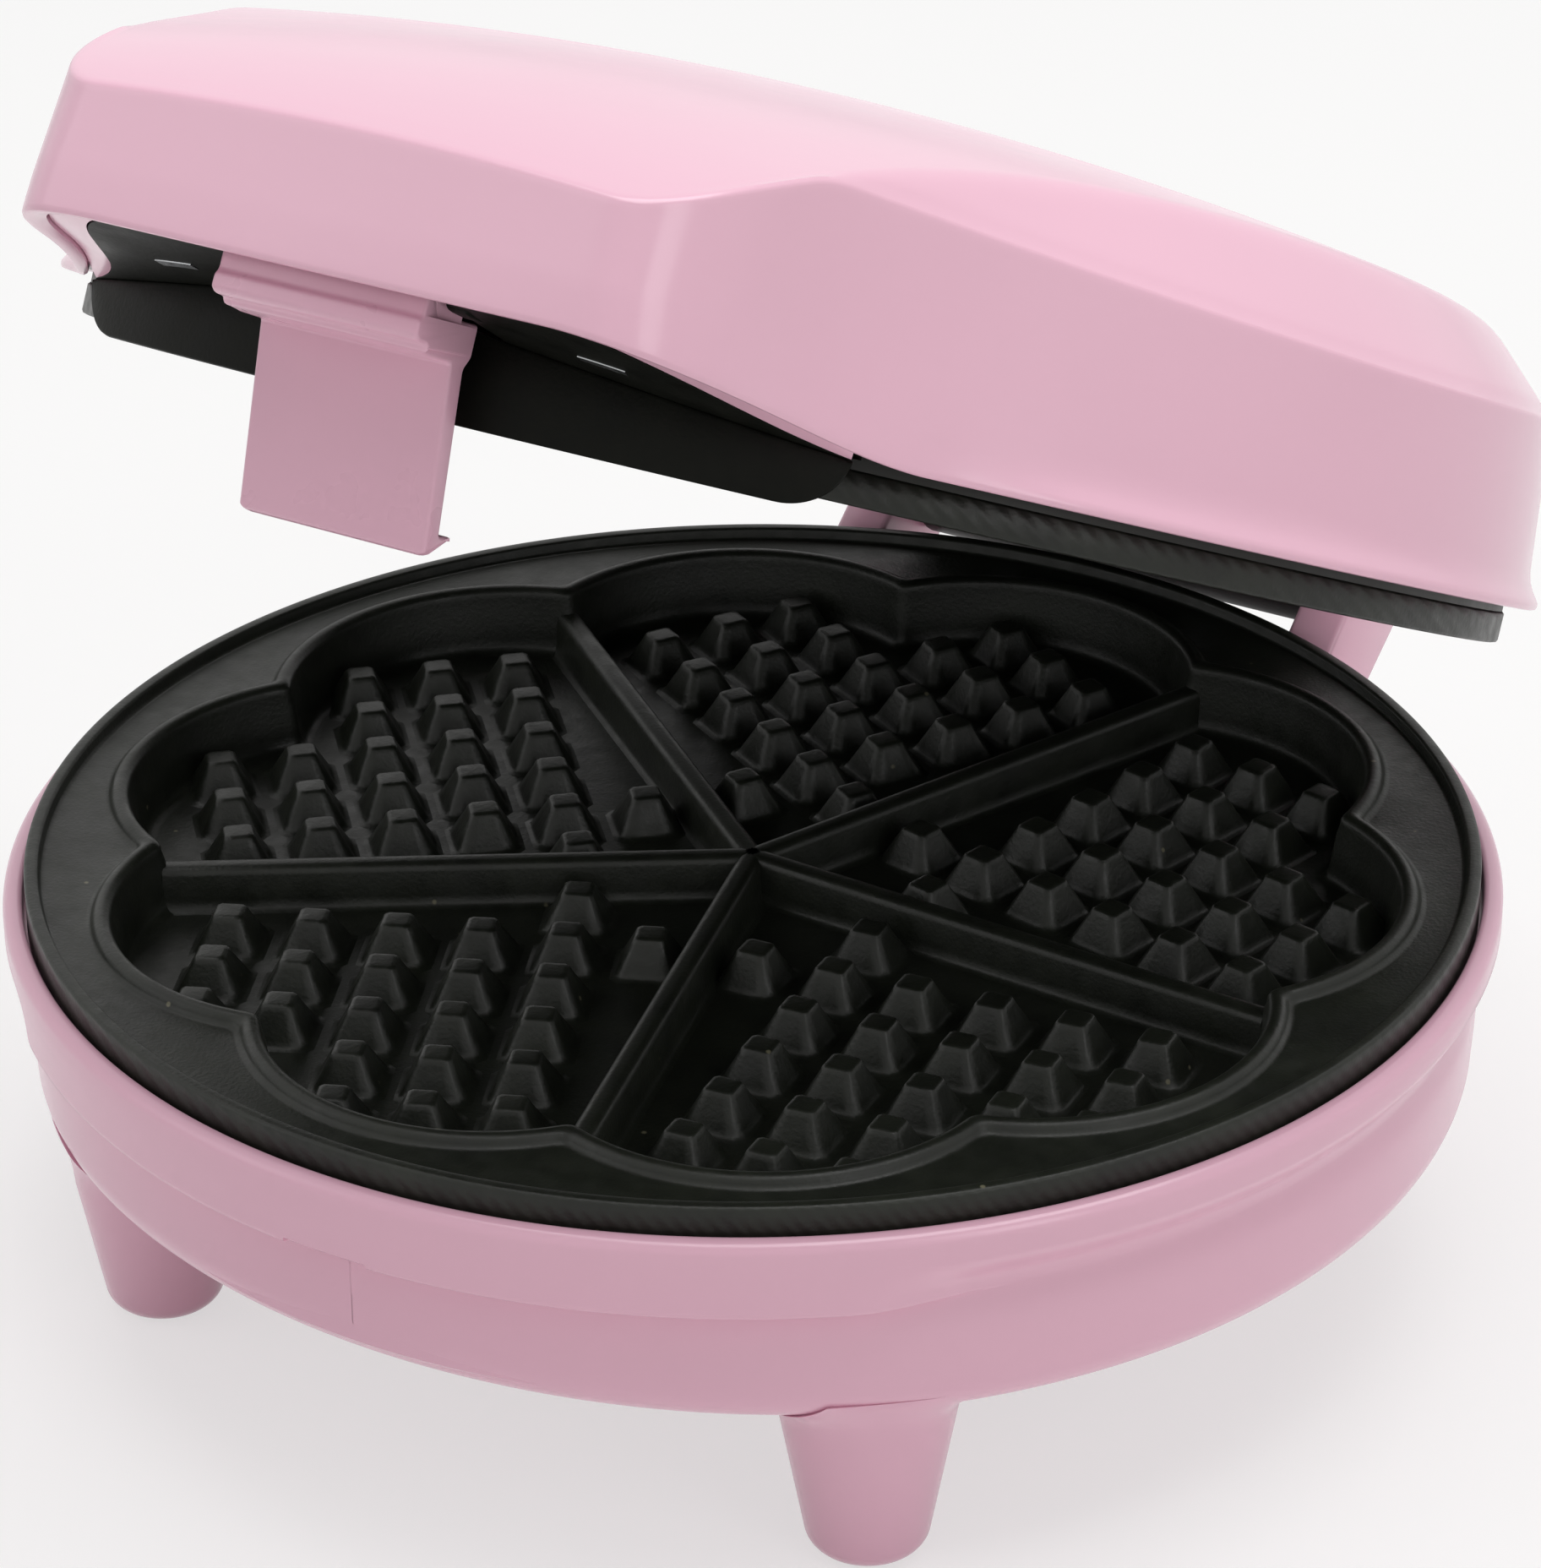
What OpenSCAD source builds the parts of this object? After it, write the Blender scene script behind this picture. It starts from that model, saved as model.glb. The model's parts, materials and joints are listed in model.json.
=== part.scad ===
// Heart waffle maker: a round base on four feet and a hinged lid with a latch.
// The lid is drawn closed and then swung open about the hinge pin.

/* [Plates] */
// Radius of the lower baking plate over its raised rim
plate_r = 95; // [90:0.5:110]
// Width of the raised rim on the lower plate
rim_w = 1.8; // [1.2:0.1:3]
// Height of the rim above the flat ring inside it
rim_h = 1.8; // [1.7:0.1:2.2]
// Height of the bead that runs round the mould
bead_h = 1.5; // [1:0.1:1.6]
// Width of the bead
bead_w = 2.4; // [1.6:0.1:3]
// Thickness of the lower plate's flange
flange_t = 5; // [4.6:0.1:6]
// Thickness of the upper plate's flange
upper_flange_t = 4; // [3:0.1:5]
// Distance from the plate's rim in to the hearts' outer edge
mould_in = 9.5; // [8.5:0.1:12]
// Radius of a heart lobe
lobe_r = 29.5; // [26:0.5:30]
// Depth of the mould below the flat ring
mould_depth = 8; // [6:0.5:10]
// Thickness of the metal under the mould
mould_floor_t = 2.5; // [2:0.1:4]
// Turn of the five hearts about the plate's middle
heart_turn = -2.5; // [-36:0.5:36]
// Distance between the pyramid studs
stud_pitch = 11; // [9.5:0.5:12]
// Width of a stud at its foot
stud_foot = 8; // [5:0.5:8.5]
// Width of a stud at its top
stud_top = 3.6; // [2:0.2:5]
// Height of a stud
stud_h = 5; // [3:0.5:5.5]
// Width of the wall between two hearts
divider_w = 3.6; // [2.4:0.2:5]
// Height of the wall between two hearts
divider_h = 6; // [4:0.5:6.5]

/* [Base] */
// Height of the lower plate's rim above the table
plate_z = 57.3; // [52:0.1:70]
// Gap between the plate's side and the base
plate_gap = 0.4; // [0.3:0.05:1]
// How far the base's lip stands out past the plate
lip_out = 3; // [2.6:0.1:5]
// Depth of the lip's top below the plate's rim
lip_drop = 3.4; // [2.5:0.1:4]
// Depth of the groove under the lip
groove_z = 13.5; // [12:0.5:15]
// Depth of the base's underside below the plate's rim
base_depth = 32; // [30:0.5:36]
// Radius of the rounded bottom edge
base_round = 6; // [4:0.5:8]
// Wall thickness of the mouldings
wall = 2.4; // [2:0.1:3]
// Depth of the front collar's lower edge below the plate's rim
collar_z = 13.9; // [13.7:0.1:14.3]
// Half angle of the finger recess under the front collar
scoop_half = 42; // [36:1:46]
// Depth of the finger recess behind the collar
scoop_depth = 5.5; // [4:0.5:6]
// Width of the flat catch at the front of the collar's lower edge
catch_w = 12; // [10:0.5:16]
// Height of that catch above the collar's lower edge
catch_h = 0.5; // [0.3:0.1:0.7]

/* [Feet] */
// Distance of a foot from the middle, sideways
foot_x = 53.7; // [48:0.1:58]
// Distance of a foot from the middle, front to back
foot_y = 61.2; // [55:0.1:62]
// Radius of a foot at its tip
foot_r = 7.9; // [7:0.1:9]
// Radius of a foot where it meets the base
foot_top_r = 10.8; // [10:0.1:12]
// Radius of the rubber pad in a foot
pad_r = 4; // [3:0.1:4.5]
// Thickness of the rubber pad
pad_t = 2.2; // [1.5:0.1:3]
// How far the pad stands out of the foot
pad_out = 0.3; // [0.2:0.1:0.6]

/* [Hinge] */
// Distance of the hinge pin behind the lower plate's rim
hinge_back = 11.6; // [11:0.1:14]
// Height of the hinge pin above the lower plate's rim
hinge_z = 1.25; // [0.5:0.05:2]
// Radius of the hinge pin
hinge_pin_r = 2.5; // [2:0.1:3]
// Clearance round the pin in the lid's bore
pin_clear = 0.06; // [0.03:0.01:0.1]
// Radius of the base's hinge ears
ear_r = 8.5; // [8:0.1:9]
// Outer face of an ear from the middle
ear_x = 40.5; // [36:0.5:44]
// Thickness of an ear
ear_t = 7.5; // [6:0.5:9]
// Slope of an ear's underside
ear_slope = 34; // [30:1:40]
// Radius of the lid's hinge barrel
barrel_r = 7.9; // [7:0.1:8.2]
// Side gap between the barrel and an ear
barrel_gap = 0.6; // [0.4:0.1:1]
// How far the lid stands open at rest
lid_open = 26.5; // [0:0.5:78]

/* [Lid] */
// Gap between the upper plate and the lower plate's raised rim
nest_gap = 0.5; // [0.4:0.1:1]
// How far the upper plate sits below the lower plate's rim when shut
plate_nest = 1.5; // [1.2:0.05:1.6]
// How far the lid's flared lip stands out past the upper plate
lid_over = 3.8; // [3.4:0.1:4.4]
// How far the lid's side wall leans in at its top
lid_lean = 3.7; // [3:0.1:5]
// Height of the lid's bottom lip above the upper plate's face
lip_z = 5; // [4.5:0.1:6]
// Height of the side wall's top edge at the sides and back
wall_top_z = 28.8; // [27:0.1:32]
// Extra height of that edge towards the front
wall_rise = 10.6; // [8:0.1:13]
// Slope of the bevel above the side wall
bevel_slope = 0.97; // [0.6:0.01:1.1]
// Height of the lid's crown above the upper plate's face
crown_z = 48.2; // [44:0.1:54]
// Fall of the crown at the lid's front and back
crown_fall = 6; // [3:0.1:7]
// Extra fall of the top towards the nose's front edge
nose_fall = 10.4; // [8:0.1:12]
// Half width of the nose at its front
nose_x = 44.6; // [42:0.1:47]
// How far the nose stands out past the lower plate's rim
nose_out = 23.9; // [22:0.1:26]
// Height of the nose's bottom edge above the upper plate's face
nose_lip_z = 11.8; // [11:0.1:13]
// Thickness of the lid's shell
shell_t = 2.3; // [1.8:0.1:2.6]

/* [Guard] */
// Distance of the front guard's face out from the lower plate's rim
guard_out = 4.6; // [4.5:0.1:6]
// Thickness of the guard
guard_t = 1.6; // [1.2:0.1:1.6]
// How far the guard reaches below the upper plate's face
guard_drop = 1.3; // [1:0.1:1.4]
// Half of the angle that the front guard spans round the plate
guard_half = 32; // [30:0.5:33]
// Radius of the guard's lower corners
guard_corner = 6.5; // [4:0.5:7]
// Height of the shelf above the upper plate's face
shelf_z = 8.5; // [8:0.1:9]
// Thickness of the shelf
shelf_t = 2; // [1.6:0.1:2.4]

/* [Latch] */
// Width of the latch
latch_w = 26; // [22:0.5:28]
// Thickness of the latch's plate
latch_t = 3; // [2.5:0.1:3.4]
// Distance of the latch pin in front of the guard's face
latch_out = 9.9; // [9.5:0.1:10.3]
// Height of the latch pin above the upper plate's face
latch_pin_z = 13.5; // [13.2:0.1:14]
// Radius of the latch pin
latch_pin_r = 1.5; // [1.2:0.1:1.8]
// Radius of the latch's barrel
latch_barrel_r = 3; // [2.8:0.1:3.1]
// How far the hook's ledge passes below the base's collar when shut
ledge_play = 1.2; // [1.1:0.1:1.4]
// Gap between the hook's tip and the base's lip when the latch hangs straight
hook_gap = 0.6; // [0.4:0.1:0.8]
// Wire radius of the latch spring
spring_wire_r = 0.4; // [0.3:0.05:0.5]
// Number of turns of the latch spring
spring_turns = 6; // [4:1:7]

/* [Heating] */
// Radius of the heating element's ring
heater_ring_r = 55; // [50:0.5:60]
// Radius of the heating element's tube
heater_r = 3.2; // [2.8:0.1:3.6]
// Angle left open between the element's two ends
heater_gap = 26; // [20:1:40]
// Length of the element's terminal legs
heater_leg = 6; // [4:0.5:7]
// Distance from the mould pan's side in to a reflector's edge
reflector_in = 10; // [8:0.5:14]
// Thickness of the reflectors
reflector_t = 0.8; // [0.6:0.1:1.2]
// Height of the bosses that carry the reflectors
boss_h = 7.5; // [7:0.1:8]
// Radius of the bosses
boss_r = 4.5; // [4:0.1:5]
// Radius of the ring on which the bosses stand
boss_ring_r = 30; // [24:1:36]
// Radius of the fixing screws
screw_r = 1.6; // [1.5:0.1:2]
// Diameter of the thermostat's can
thermostat_d = 16; // [14:0.5:18]
// Distance of the thermostat and the fuse from the middle line
control_x = 22; // [20:0.5:26]
// Width of the terminal block
terminal_w = 30; // [26:1:34]
// Depth of the terminal block
terminal_l = 9; // [8:0.5:11]
// Height of the terminal block
terminal_h = 6; // [5:0.5:7]
// Distance of the terminal block behind the heating element's ring
terminal_gap = 11; // [10:0.5:14]

/* [Inlet and lamps] */
// Radius of the bore in the cord gland
gland_bore_r = 3.5; // [3:0.1:4]
// Radius of the gland's body
gland_r = 5.5; // [5.2:0.1:6]
// Radius of the gland's flange
gland_flange_r = 8; // [7.5:0.1:9]
// Depth of the gland below the plate's rim
gland_z = 20; // [19:0.5:21]
// Radius of an indicator lamp's lens
lens_r = 2.5; // [2:0.1:3]
// Distance between the two lenses
lens_pitch = 14; // [10:0.5:18]

/* [Hidden] */
$fn = 96;
eps = 0.01;
fit = 0.05;

pink = "#E6B9CC";
pink_light = "#F2CBDB";
black = "#1D1E1C";
coating = "#222321";
steel = "#B9BBBD";
brass = "#C9A75C";

hearts = 5;
heart_step = 360 / hearts;
lobe_place_r = plate_r - mould_in - lobe_r;
upper_r = plate_r - rim_w - nest_gap;
lid_r = upper_r + lid_over;
lid_top_r = lid_r - lid_lean;
nose_y = plate_r + nose_out;
guard_y = plate_r + guard_out;
latch_pin_y = guard_y + latch_out;
hinge_y = plate_r + hinge_back;
ledge_z = collar_z - plate_nest + ledge_play;
guard_end_x = guard_y * sin(guard_half);
lip_r = plate_r + lip_out;
hook_y = lip_r + hook_gap;
base_r = lip_r - 2.5;
centre_y = (hinge_y + ear_r - lip_r) / 2;

ring_z = -rim_h;
flange_z = ring_z - flange_t;
mould_z = ring_z - mould_depth;
pan_z = mould_z - mould_floor_t;
pan_r = lobe_place_r + lobe_r + bead_w + 0.1;
reflector_r = pan_r - reflector_in;
upper_pan_z = mould_depth + mould_floor_t;
inner_r = base_r - wall - 0.6;
ledge_t = 3;
base_floor_z = -base_depth + wall;
scoop_r = lip_r - scoop_depth;
scoop_shift = (base_r - scoop_r) / (1 - cos(scoop_half) - 0.05);
scoop_big_r = scoop_r + scoop_shift;
boss_end_z = pan_z - boss_h;
upper_boss_end_z = upper_pan_z + boss_h;
foot_z = -plate_z + pad_out;
pocket_z = foot_z + pad_t - pad_out;
barrel_x = ear_x - ear_t - barrel_gap;
frame_t = 1.2;
frame_top = upper_flange_t + frame_t;
frame_wall_h = 4.5;
frame_wall_t = 0.8;
frame_r = upper_r - 0.3;
tongue_x = 24;
tongue_y = hinge_y - barrel_r - 1.7;

// ---- placing -------------------------------------------------------------

// The base is drawn with its origin at the middle of the lower plate's rim.
module on_base() {
    translate([0, -centre_y, plate_z]) children();
}

// The lid is drawn with its origin at the middle of the upper plate's face.
module on_lid() {
    translate([0, hinge_y - centre_y, plate_z + hinge_z])
        rotate([-lid_open, 0, 0])
            translate([0, -hinge_y, -hinge_z - plate_nest]) children();
}

module mirror_x() {
    children();
    mirror([1, 0, 0]) children();
}

// A bar of a given outline in the Y-Z plane, from x = -half to x = half.
module side_bar(half, outline) {
    translate([-half, 0, 0]) rotate([90, 0, 90]) linear_extrude(2 * half) polygon(outline);
}

// A cylinder along X through a point of the Y-Z plane.
module x_rod(r, half, y, z) {
    translate([-half, y, z]) rotate([0, 90, 0]) cylinder(r = r, h = 2 * half);
}

// ---- baking plates -------------------------------------------------------

function lobe_angle(k) = heart_turn + heart_step / 4 + k * heart_step / 2;
function lobe_centre(k) = lobe_place_r * [cos(lobe_angle(k)), sin(lobe_angle(k))];

// The ten lobes and the disc inside them, grown by a width.
module lobes(grow, h) {
    cylinder(r = lobe_place_r, h = h);
    for (k = [0 : 2 * hearts - 1])
        translate(lobe_centre(k)) cylinder(r = lobe_r + grow, h = h);
}

// Studs of one heart stand on a square grid at 45 degrees to the heart's middle line.
stud_grid_n = 4;
stud_grid_place = lobe_place_r - 10;
function stud_at(i, j) =
    [stud_grid_place + (i - j) * stud_pitch * sqrt(0.5), (i + j) * stud_pitch * sqrt(0.5)];
function lobe_gap(p) = norm([p[0], abs(p[1])]
    - lobe_place_r * [cos(heart_step / 4), sin(heart_step / 4)]);
function wall_gap(p) = p[0] * sin(heart_step / 2) - abs(p[1]) * cos(heart_step / 2);
function stud_fits(p) = wall_gap(p) > divider_w / 2 + stud_foot * 0.62
    && (lobe_gap(p) < lobe_r - stud_foot * 0.66 || norm(p) < lobe_place_r - 6)
    && norm(p) > 2 * stud_foot;

module studs() {
    for (k = [0 : hearts - 1])
        rotate(heart_turn + (k + 0.5) * heart_step)
            for (i = [-stud_grid_n : stud_grid_n], j = [-stud_grid_n : stud_grid_n])
                if (stud_fits(stud_at(i, j)))
                    translate(stud_at(i, j))
                        cylinder(r1 = stud_foot * sqrt(0.5), r2 = stud_top * sqrt(0.5),
                            h = stud_h, $fn = 4);
}

module dividers() {
    for (k = [0 : hearts - 1])
        rotate(heart_turn + k * heart_step)
            translate([0, -divider_w / 2, 0])
                cube([lobe_place_r + lobe_r * 0.75, divider_w, divider_h]);
}

module bosses(h) {
    for (a = [90, 210, 330])
        rotate(a) translate([boss_ring_r, 0, 0]) difference() {
            cylinder(r = boss_r, h = h);
            translate([0, 0, -eps]) cylinder(r = screw_r + fit, h = h - 1);
        }
}

module lower_plate() {
    color(coating) on_base() {
        difference() {
            union() {
                translate([0, 0, flange_z]) cylinder(r = plate_r, h = flange_t);
                translate([0, 0, ring_z]) lobes(bead_w, bead_h);
                translate([0, 0, pan_z]) cylinder(r = pan_r, h = ring_z - pan_z);
                difference() {
                    translate([0, 0, flange_z]) cylinder(r = plate_r, h = -flange_z);
                    translate([0, 0, ring_z]) cylinder(r = plate_r - rim_w, h = rim_h + 1);
                }
            }
            translate([0, 0, mould_z]) lobes(0, -mould_z + 1);
        }
        translate([0, 0, mould_z - eps]) dividers();
        translate([0, 0, mould_z - eps]) studs();
        translate([0, 0, boss_end_z]) bosses(boss_h + eps);
    }
}

module upper_plate() {
    color(coating) on_lid() {
        difference() {
            union() {
                cylinder(r = upper_r, h = upper_flange_t);
                cylinder(r = pan_r, h = upper_pan_z);
            }
            translate([0, 0, -1]) lobes(0, mould_depth + 1);
            translate([0, 0, -1]) lobes(bead_w + 0.6, bead_h - rim_h + plate_nest + 1.4);
            for (a = screw_angles) rotate(a)
                translate([screw_ring_r, 0, 1.5]) cylinder(r = small_screw_r + fit, h = upper_flange_t);
        }
        translate([0, 0, mould_depth + eps]) mirror([0, 0, 1]) dividers();
        translate([0, 0, mould_depth + eps]) mirror([0, 0, 1]) studs();
        translate([0, 0, upper_boss_end_z]) mirror([0, 0, 1]) bosses(boss_h + eps);
    }
}

// ---- base ----------------------------------------------------------------

// Points of an arc, from angle a0 to a1 in n steps.
function arc(c, r, a0, a1, n) =
    [for (i = [0 : n]) c + r * [cos(a0 + (a1 - a0) * i / n), sin(a0 + (a1 - a0) * i / n)]];

lip_round = 1.6;
outer_profile = concat(
    [[0, -base_depth]],
    arc([base_r - 0.5 - base_round, -base_depth + base_round], base_round, -90, -4, 8),
    [[base_r, -groove_z - 4], [base_r - 0.9, -groove_z], [lip_r - 1.4, -groove_z + 3.6],
        [lip_r, -lip_drop - 4.1]],
    arc([lip_r - lip_round, -lip_drop - lip_round], lip_round, 0, 90, 6),
    [[0, -lip_drop]]);

module base_body() {
    rotate_extrude() polygon(outer_profile);
}

module base_hollow() {
    translate([0, 0, base_floor_z]) cylinder(r = inner_r, h = base_depth);
}

// A ring sector centred on the front of the base.
module front_sector(r0, r1, z0, z1, half) {
    rotate(-90 - half) rotate_extrude(angle = 2 * half)
        polygon([[r0, z0], [r1, z0], [r1, z1], [r0, z1]]);
}

// The finger recess: all that lies in front of a wide cylinder set back from the middle.
module scoop_cut() {
    difference() {
        translate([-lip_r, -lip_r - 5, -base_depth - 1])
            cube([2 * lip_r, lip_r * (1 - cos(scoop_half)) + 9, base_depth + 1 - collar_z]);
        translate([0, scoop_shift, -base_depth - 2]) cylinder(r = scoop_big_r, h = base_depth, $fn = 180);
    }
}

module scoop_wall() {
    intersection() {
        translate([0, 0, base_floor_z - eps]) cylinder(r = inner_r + 1, h = -base_floor_z - collar_z + catch_h + wall);
        translate([-lip_r, -lip_r - 5, -base_depth]) cube([2 * lip_r, lip_r * 0.55, base_depth]);
        translate([0, scoop_shift, -base_depth]) difference() {
            cylinder(r = scoop_big_r + 2, h = base_depth, $fn = 180);
            translate([0, 0, -1]) cylinder(r = scoop_big_r - wall, h = base_depth + 2, $fn = 180);
        }
    }
}

function ear_low() = [hinge_y + ear_r * sin(ear_slope), hinge_z - ear_r * cos(ear_slope)];
function ear_high() = [hinge_y - ear_r * sqrt(0.5), hinge_z + ear_r * sqrt(0.5)];
ear_root_y = base_r - 11;
ear_outline = [ear_low(), [ear_root_y, ear_low()[1] - (ear_low()[0] - ear_root_y) * tan(ear_slope)],
    [ear_root_y, -lip_drop - 1.6], ear_high(), [hinge_y, hinge_z]];

module ear() {
    translate([ear_x - ear_t / 2, 0, 0]) {
        side_bar(ear_t / 2, ear_outline);
        x_rod(ear_r, ear_t / 2, hinge_y, hinge_z);
    }
}

module foot() {
    tip = 3.4;
    rotate_extrude() polygon(concat(
        [[0, foot_z]],
        arc([foot_r - tip, foot_z + tip], tip, -90, -8, 8),
        [[foot_top_r, -base_depth - 3], [foot_top_r + 2, -base_depth + 2.5],
            [0, -base_depth + 2.5]]));
}

vent_n = 4;
vent_pitch = 9;
vent_l = 34;
vent_w = 3;

module base_shell() {
    color(pink) on_base() difference() {
        union() {
            difference() {
                union() {
                    base_body();
                    front_sector(inner_r - 3, lip_r - 0.4, -collar_z, -lip_drop - 4, scoop_half + 4);
                }
                base_hollow();
            }
            scoop_wall();
            difference() {
                translate([0, 0, flange_z - ledge_t]) cylinder(r = inner_r + 1, h = ledge_t);
                translate([0, 0, flange_z - ledge_t - 1]) cylinder(r = pan_r + 1, h = ledge_t + 2);
            }
            intersection() {
                mirror_x() ear();
                difference() {
                    translate([0, 0, -base_depth]) cylinder(r = hinge_y + 20, h = base_depth + 20);
                    translate([0, 0, -base_depth - 1]) cylinder(r = inner_r + 1, h = base_depth + 30);
                }
            }
            for (a = [90, 210, 330]) rotate(a) translate([boss_ring_r, 0, base_floor_z - eps])
                cylinder(r = boss_r, h = boss_end_z - reflector_t - base_floor_z + eps);
            translate([0, base_r - 6, -gland_z]) rotate([-90, 0, 0])
                cylinder(r = gland_flange_r + 1, h = gland_face_y - base_r + 6);
        }
        translate([0, 0, flange_z]) cylinder(r = plate_r + plate_gap, h = 10);
        scoop_cut();
        translate([-catch_w / 2, -lip_r - 2, -collar_z - eps])
            cube([catch_w, lip_r + 2 - scoop_r, catch_h + eps]);
        x_rod(hinge_pin_r + fit, hinge_pin_half + fit, hinge_y, hinge_z);
        for (a = [90, 210, 330]) rotate(a) translate([boss_ring_r, 0, -base_depth - 1]) {
            cylinder(r = screw_r + fit, h = base_depth);
            cylinder(r = screw_head_r + 0.4, h = 1 + screw_head_h + 0.4);
        }
        translate([0, base_r - 12, -gland_z]) rotate([-90, 0, 0]) cylinder(r = gland_r + fit, h = 30);
        for (s = [-1, 1]) translate([-base_r - 2, s * lens_pitch / 2, lens_z])
            rotate([0, 90, 0]) cylinder(r = lens_r + fit, h = 12);
        for (i = [0 : vent_n - 1])
            translate([(i - (vent_n - 1) / 2) * vent_pitch - vent_w / 2, 38, -base_depth - 1])
                cube([vent_w, vent_l, wall + 2]);
    }
}

// The feet fit the bowl's rounded underside.
module feet() {
    color(pink) on_base() difference() {
        for (sx = [-1, 1], sy = [-1, 1]) translate([sx * foot_x, sy * foot_y, 0]) foot();
        translate([0, 0, -fit]) base_body();
        for (sx = [-1, 1], sy = [-1, 1])
            translate([sx * foot_x, sy * foot_y, foot_z - 1]) cylinder(r = pad_r + fit, h = pocket_z - foot_z + 1);
    }
}

module foot_pads() {
    color(black) on_base()
        for (sx = [-1, 1], sy = [-1, 1])
            translate([sx * foot_x, sy * foot_y, -plate_z]) cylinder(r = pad_r, h = pad_t);
}

// ---- heating -------------------------------------------------------------

// A ring of tube with a gap at the back, and two legs that turn away from the plate.
module heater(leg) {
    past = 4;
    rotate(90 + heater_gap / 2 - past) rotate_extrude(angle = 360 - heater_gap + 2 * past)
        translate([heater_ring_r, 0]) circle(heater_r);
    for (s = [-1, 1]) rotate(90 + s * heater_gap / 2)
        translate([heater_ring_r, 0, -leg]) cylinder(r = heater_r - 0.6, h = leg);
}

heater_seat = 0.2;

module lower_heating_element() {
    color(steel) on_base()
        translate([0, 0, pan_z - heater_seat - heater_r]) heater(heater_leg);
}

module upper_heating_element() {
    color(steel) on_lid()
        translate([0, 0, upper_pan_z + heater_seat + heater_r]) mirror([0, 0, 1]) heater(heater_leg);
}

// A dished disc with holes for its screws and for the element's legs.
module reflector(rim) {
    difference() {
        union() {
            cylinder(r = reflector_r, h = reflector_t);
            difference() {
                cylinder(r = reflector_r, h = rim);
                translate([0, 0, -1]) cylinder(r = reflector_r - reflector_t, h = rim + 2);
            }
        }
        for (a = [90, 210, 330]) rotate(a)
            translate([boss_ring_r, 0, -1]) cylinder(r = screw_r + 0.4, h = 5);
        for (s = [-1, 1]) rotate(90 + s * heater_gap / 2)
            translate([heater_ring_r, 0, -1]) cylinder(r = heater_r + 1, h = 5);
    }
}

reflector_rim = 5;

module lower_reflector() {
    color(steel) on_base() translate([0, 0, boss_end_z - reflector_t]) reflector(reflector_rim);
}

module upper_reflector() {
    color(steel) on_lid()
        translate([0, 0, upper_boss_end_z + reflector_t]) mirror([0, 0, 1]) reflector(reflector_rim);
}

screw_head_r = 3;
screw_head_h = 1.8;

// A screw that stands on z = 0 with its head below.
module screw(l) {
    translate([0, 0, -screw_head_h]) difference() {
        cylinder(r = screw_head_r, h = screw_head_h);
        translate([-screw_head_r, -0.4, -1]) cube([2 * screw_head_r, 0.8, 1.8]);
    }
    translate([0, 0, -eps]) cylinder(r = screw_r, h = l);
}

module lower_plate_screws() {
    depth = -base_depth + screw_head_h + 0.4;
    color(steel) on_base() for (a = [90, 210, 330])
        rotate(a) translate([boss_ring_r, 0, depth]) screw(boss_end_z + boss_h - 2 - depth);
}

module upper_reflector_screws() {
    color(steel) on_lid() for (a = [90, 210, 330]) rotate(a)
        translate([boss_ring_r, 0, upper_boss_end_z + reflector_t]) mirror([0, 0, 1]) screw(boss_h - 2);
}

screw_ring_r = pan_r + 1.9;
screw_angles = [30, 150, 210, 330];
small_screw_r = 1;

module upper_plate_screws() {
    color(steel) on_lid() for (a = screw_angles) rotate(a)
        translate([screw_ring_r, 0, 2]) {
            cylinder(r = small_screw_r, h = upper_flange_t + frame_t - 2 + eps);
            translate([0, 0, upper_flange_t + frame_t - 2]) cylinder(r = 1.5, h = 1.2);
        }
}

module thermostat() {
    color(steel) on_base() translate([control_x, 10, pan_z - 6]) {
        cylinder(r = thermostat_d / 2, h = 6);
        for (s = [-1, 1]) translate([s * 4 - 1.5, -thermostat_d / 2 - 4, 1]) cube([3, 6, 0.8]);
    }
}

module thermal_fuse() {
    color(brass) on_base() translate([-control_x, 10, pan_z - 5]) {
        translate([-7, -2, 0]) cube([14, 4, 5]);
        translate([-10, 0, 1.8]) rotate([0, 90, 0]) cylinder(r = 1.7, h = 20);
    }
}

terminal_y = heater_ring_r + terminal_gap;

module terminal_block() {
    color("white") on_base() translate([-terminal_w / 2, terminal_y, base_floor_z]) difference() {
        cube([terminal_w, terminal_l, terminal_h]);
        for (i = [1, 3, 5]) translate([i * terminal_w / 6, terminal_l / 2, terminal_h / 3])
            cylinder(r = terminal_l / 5, h = terminal_h);
    }
}

// A tube swept along points, with a ring of eight corners at each point.
wire_sides = 8;
function unit(v) = v / norm(v);
function heading(p, i) = unit(p[min(i + 1, len(p) - 1)] - p[max(i - 1, 0)]);
function across(d) = unit(cross(d, abs(d[2]) < 0.9 ? [0, 0, 1] : [1, 0, 0]));
function tube_ring(p, i, r) = let (d = heading(p, i), u = across(d), v = cross(d, u))
    [for (k = [0 : wire_sides - 1])
        p[i] + r * (cos(360 * k / wire_sides) * u + sin(360 * k / wire_sides) * v)];
module wire(p, r) {
    n = len(p);
    pts = [for (i = [0 : n - 1]) each tube_ring(p, i, r)];
    sides = [for (i = [0 : n - 2], k = [0 : wire_sides - 1])
        let (a = i * wire_sides + k, b = i * wire_sides + (k + 1) % wire_sides)
        each [[a, a + wire_sides, b], [b, a + wire_sides, b + wire_sides]]];
    ends = [[for (k = [0 : wire_sides - 1]) k],
        [for (k = [0 : wire_sides - 1]) n * wire_sides - 1 - k]];
    polyhedron(pts, concat(sides, ends));
}

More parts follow.
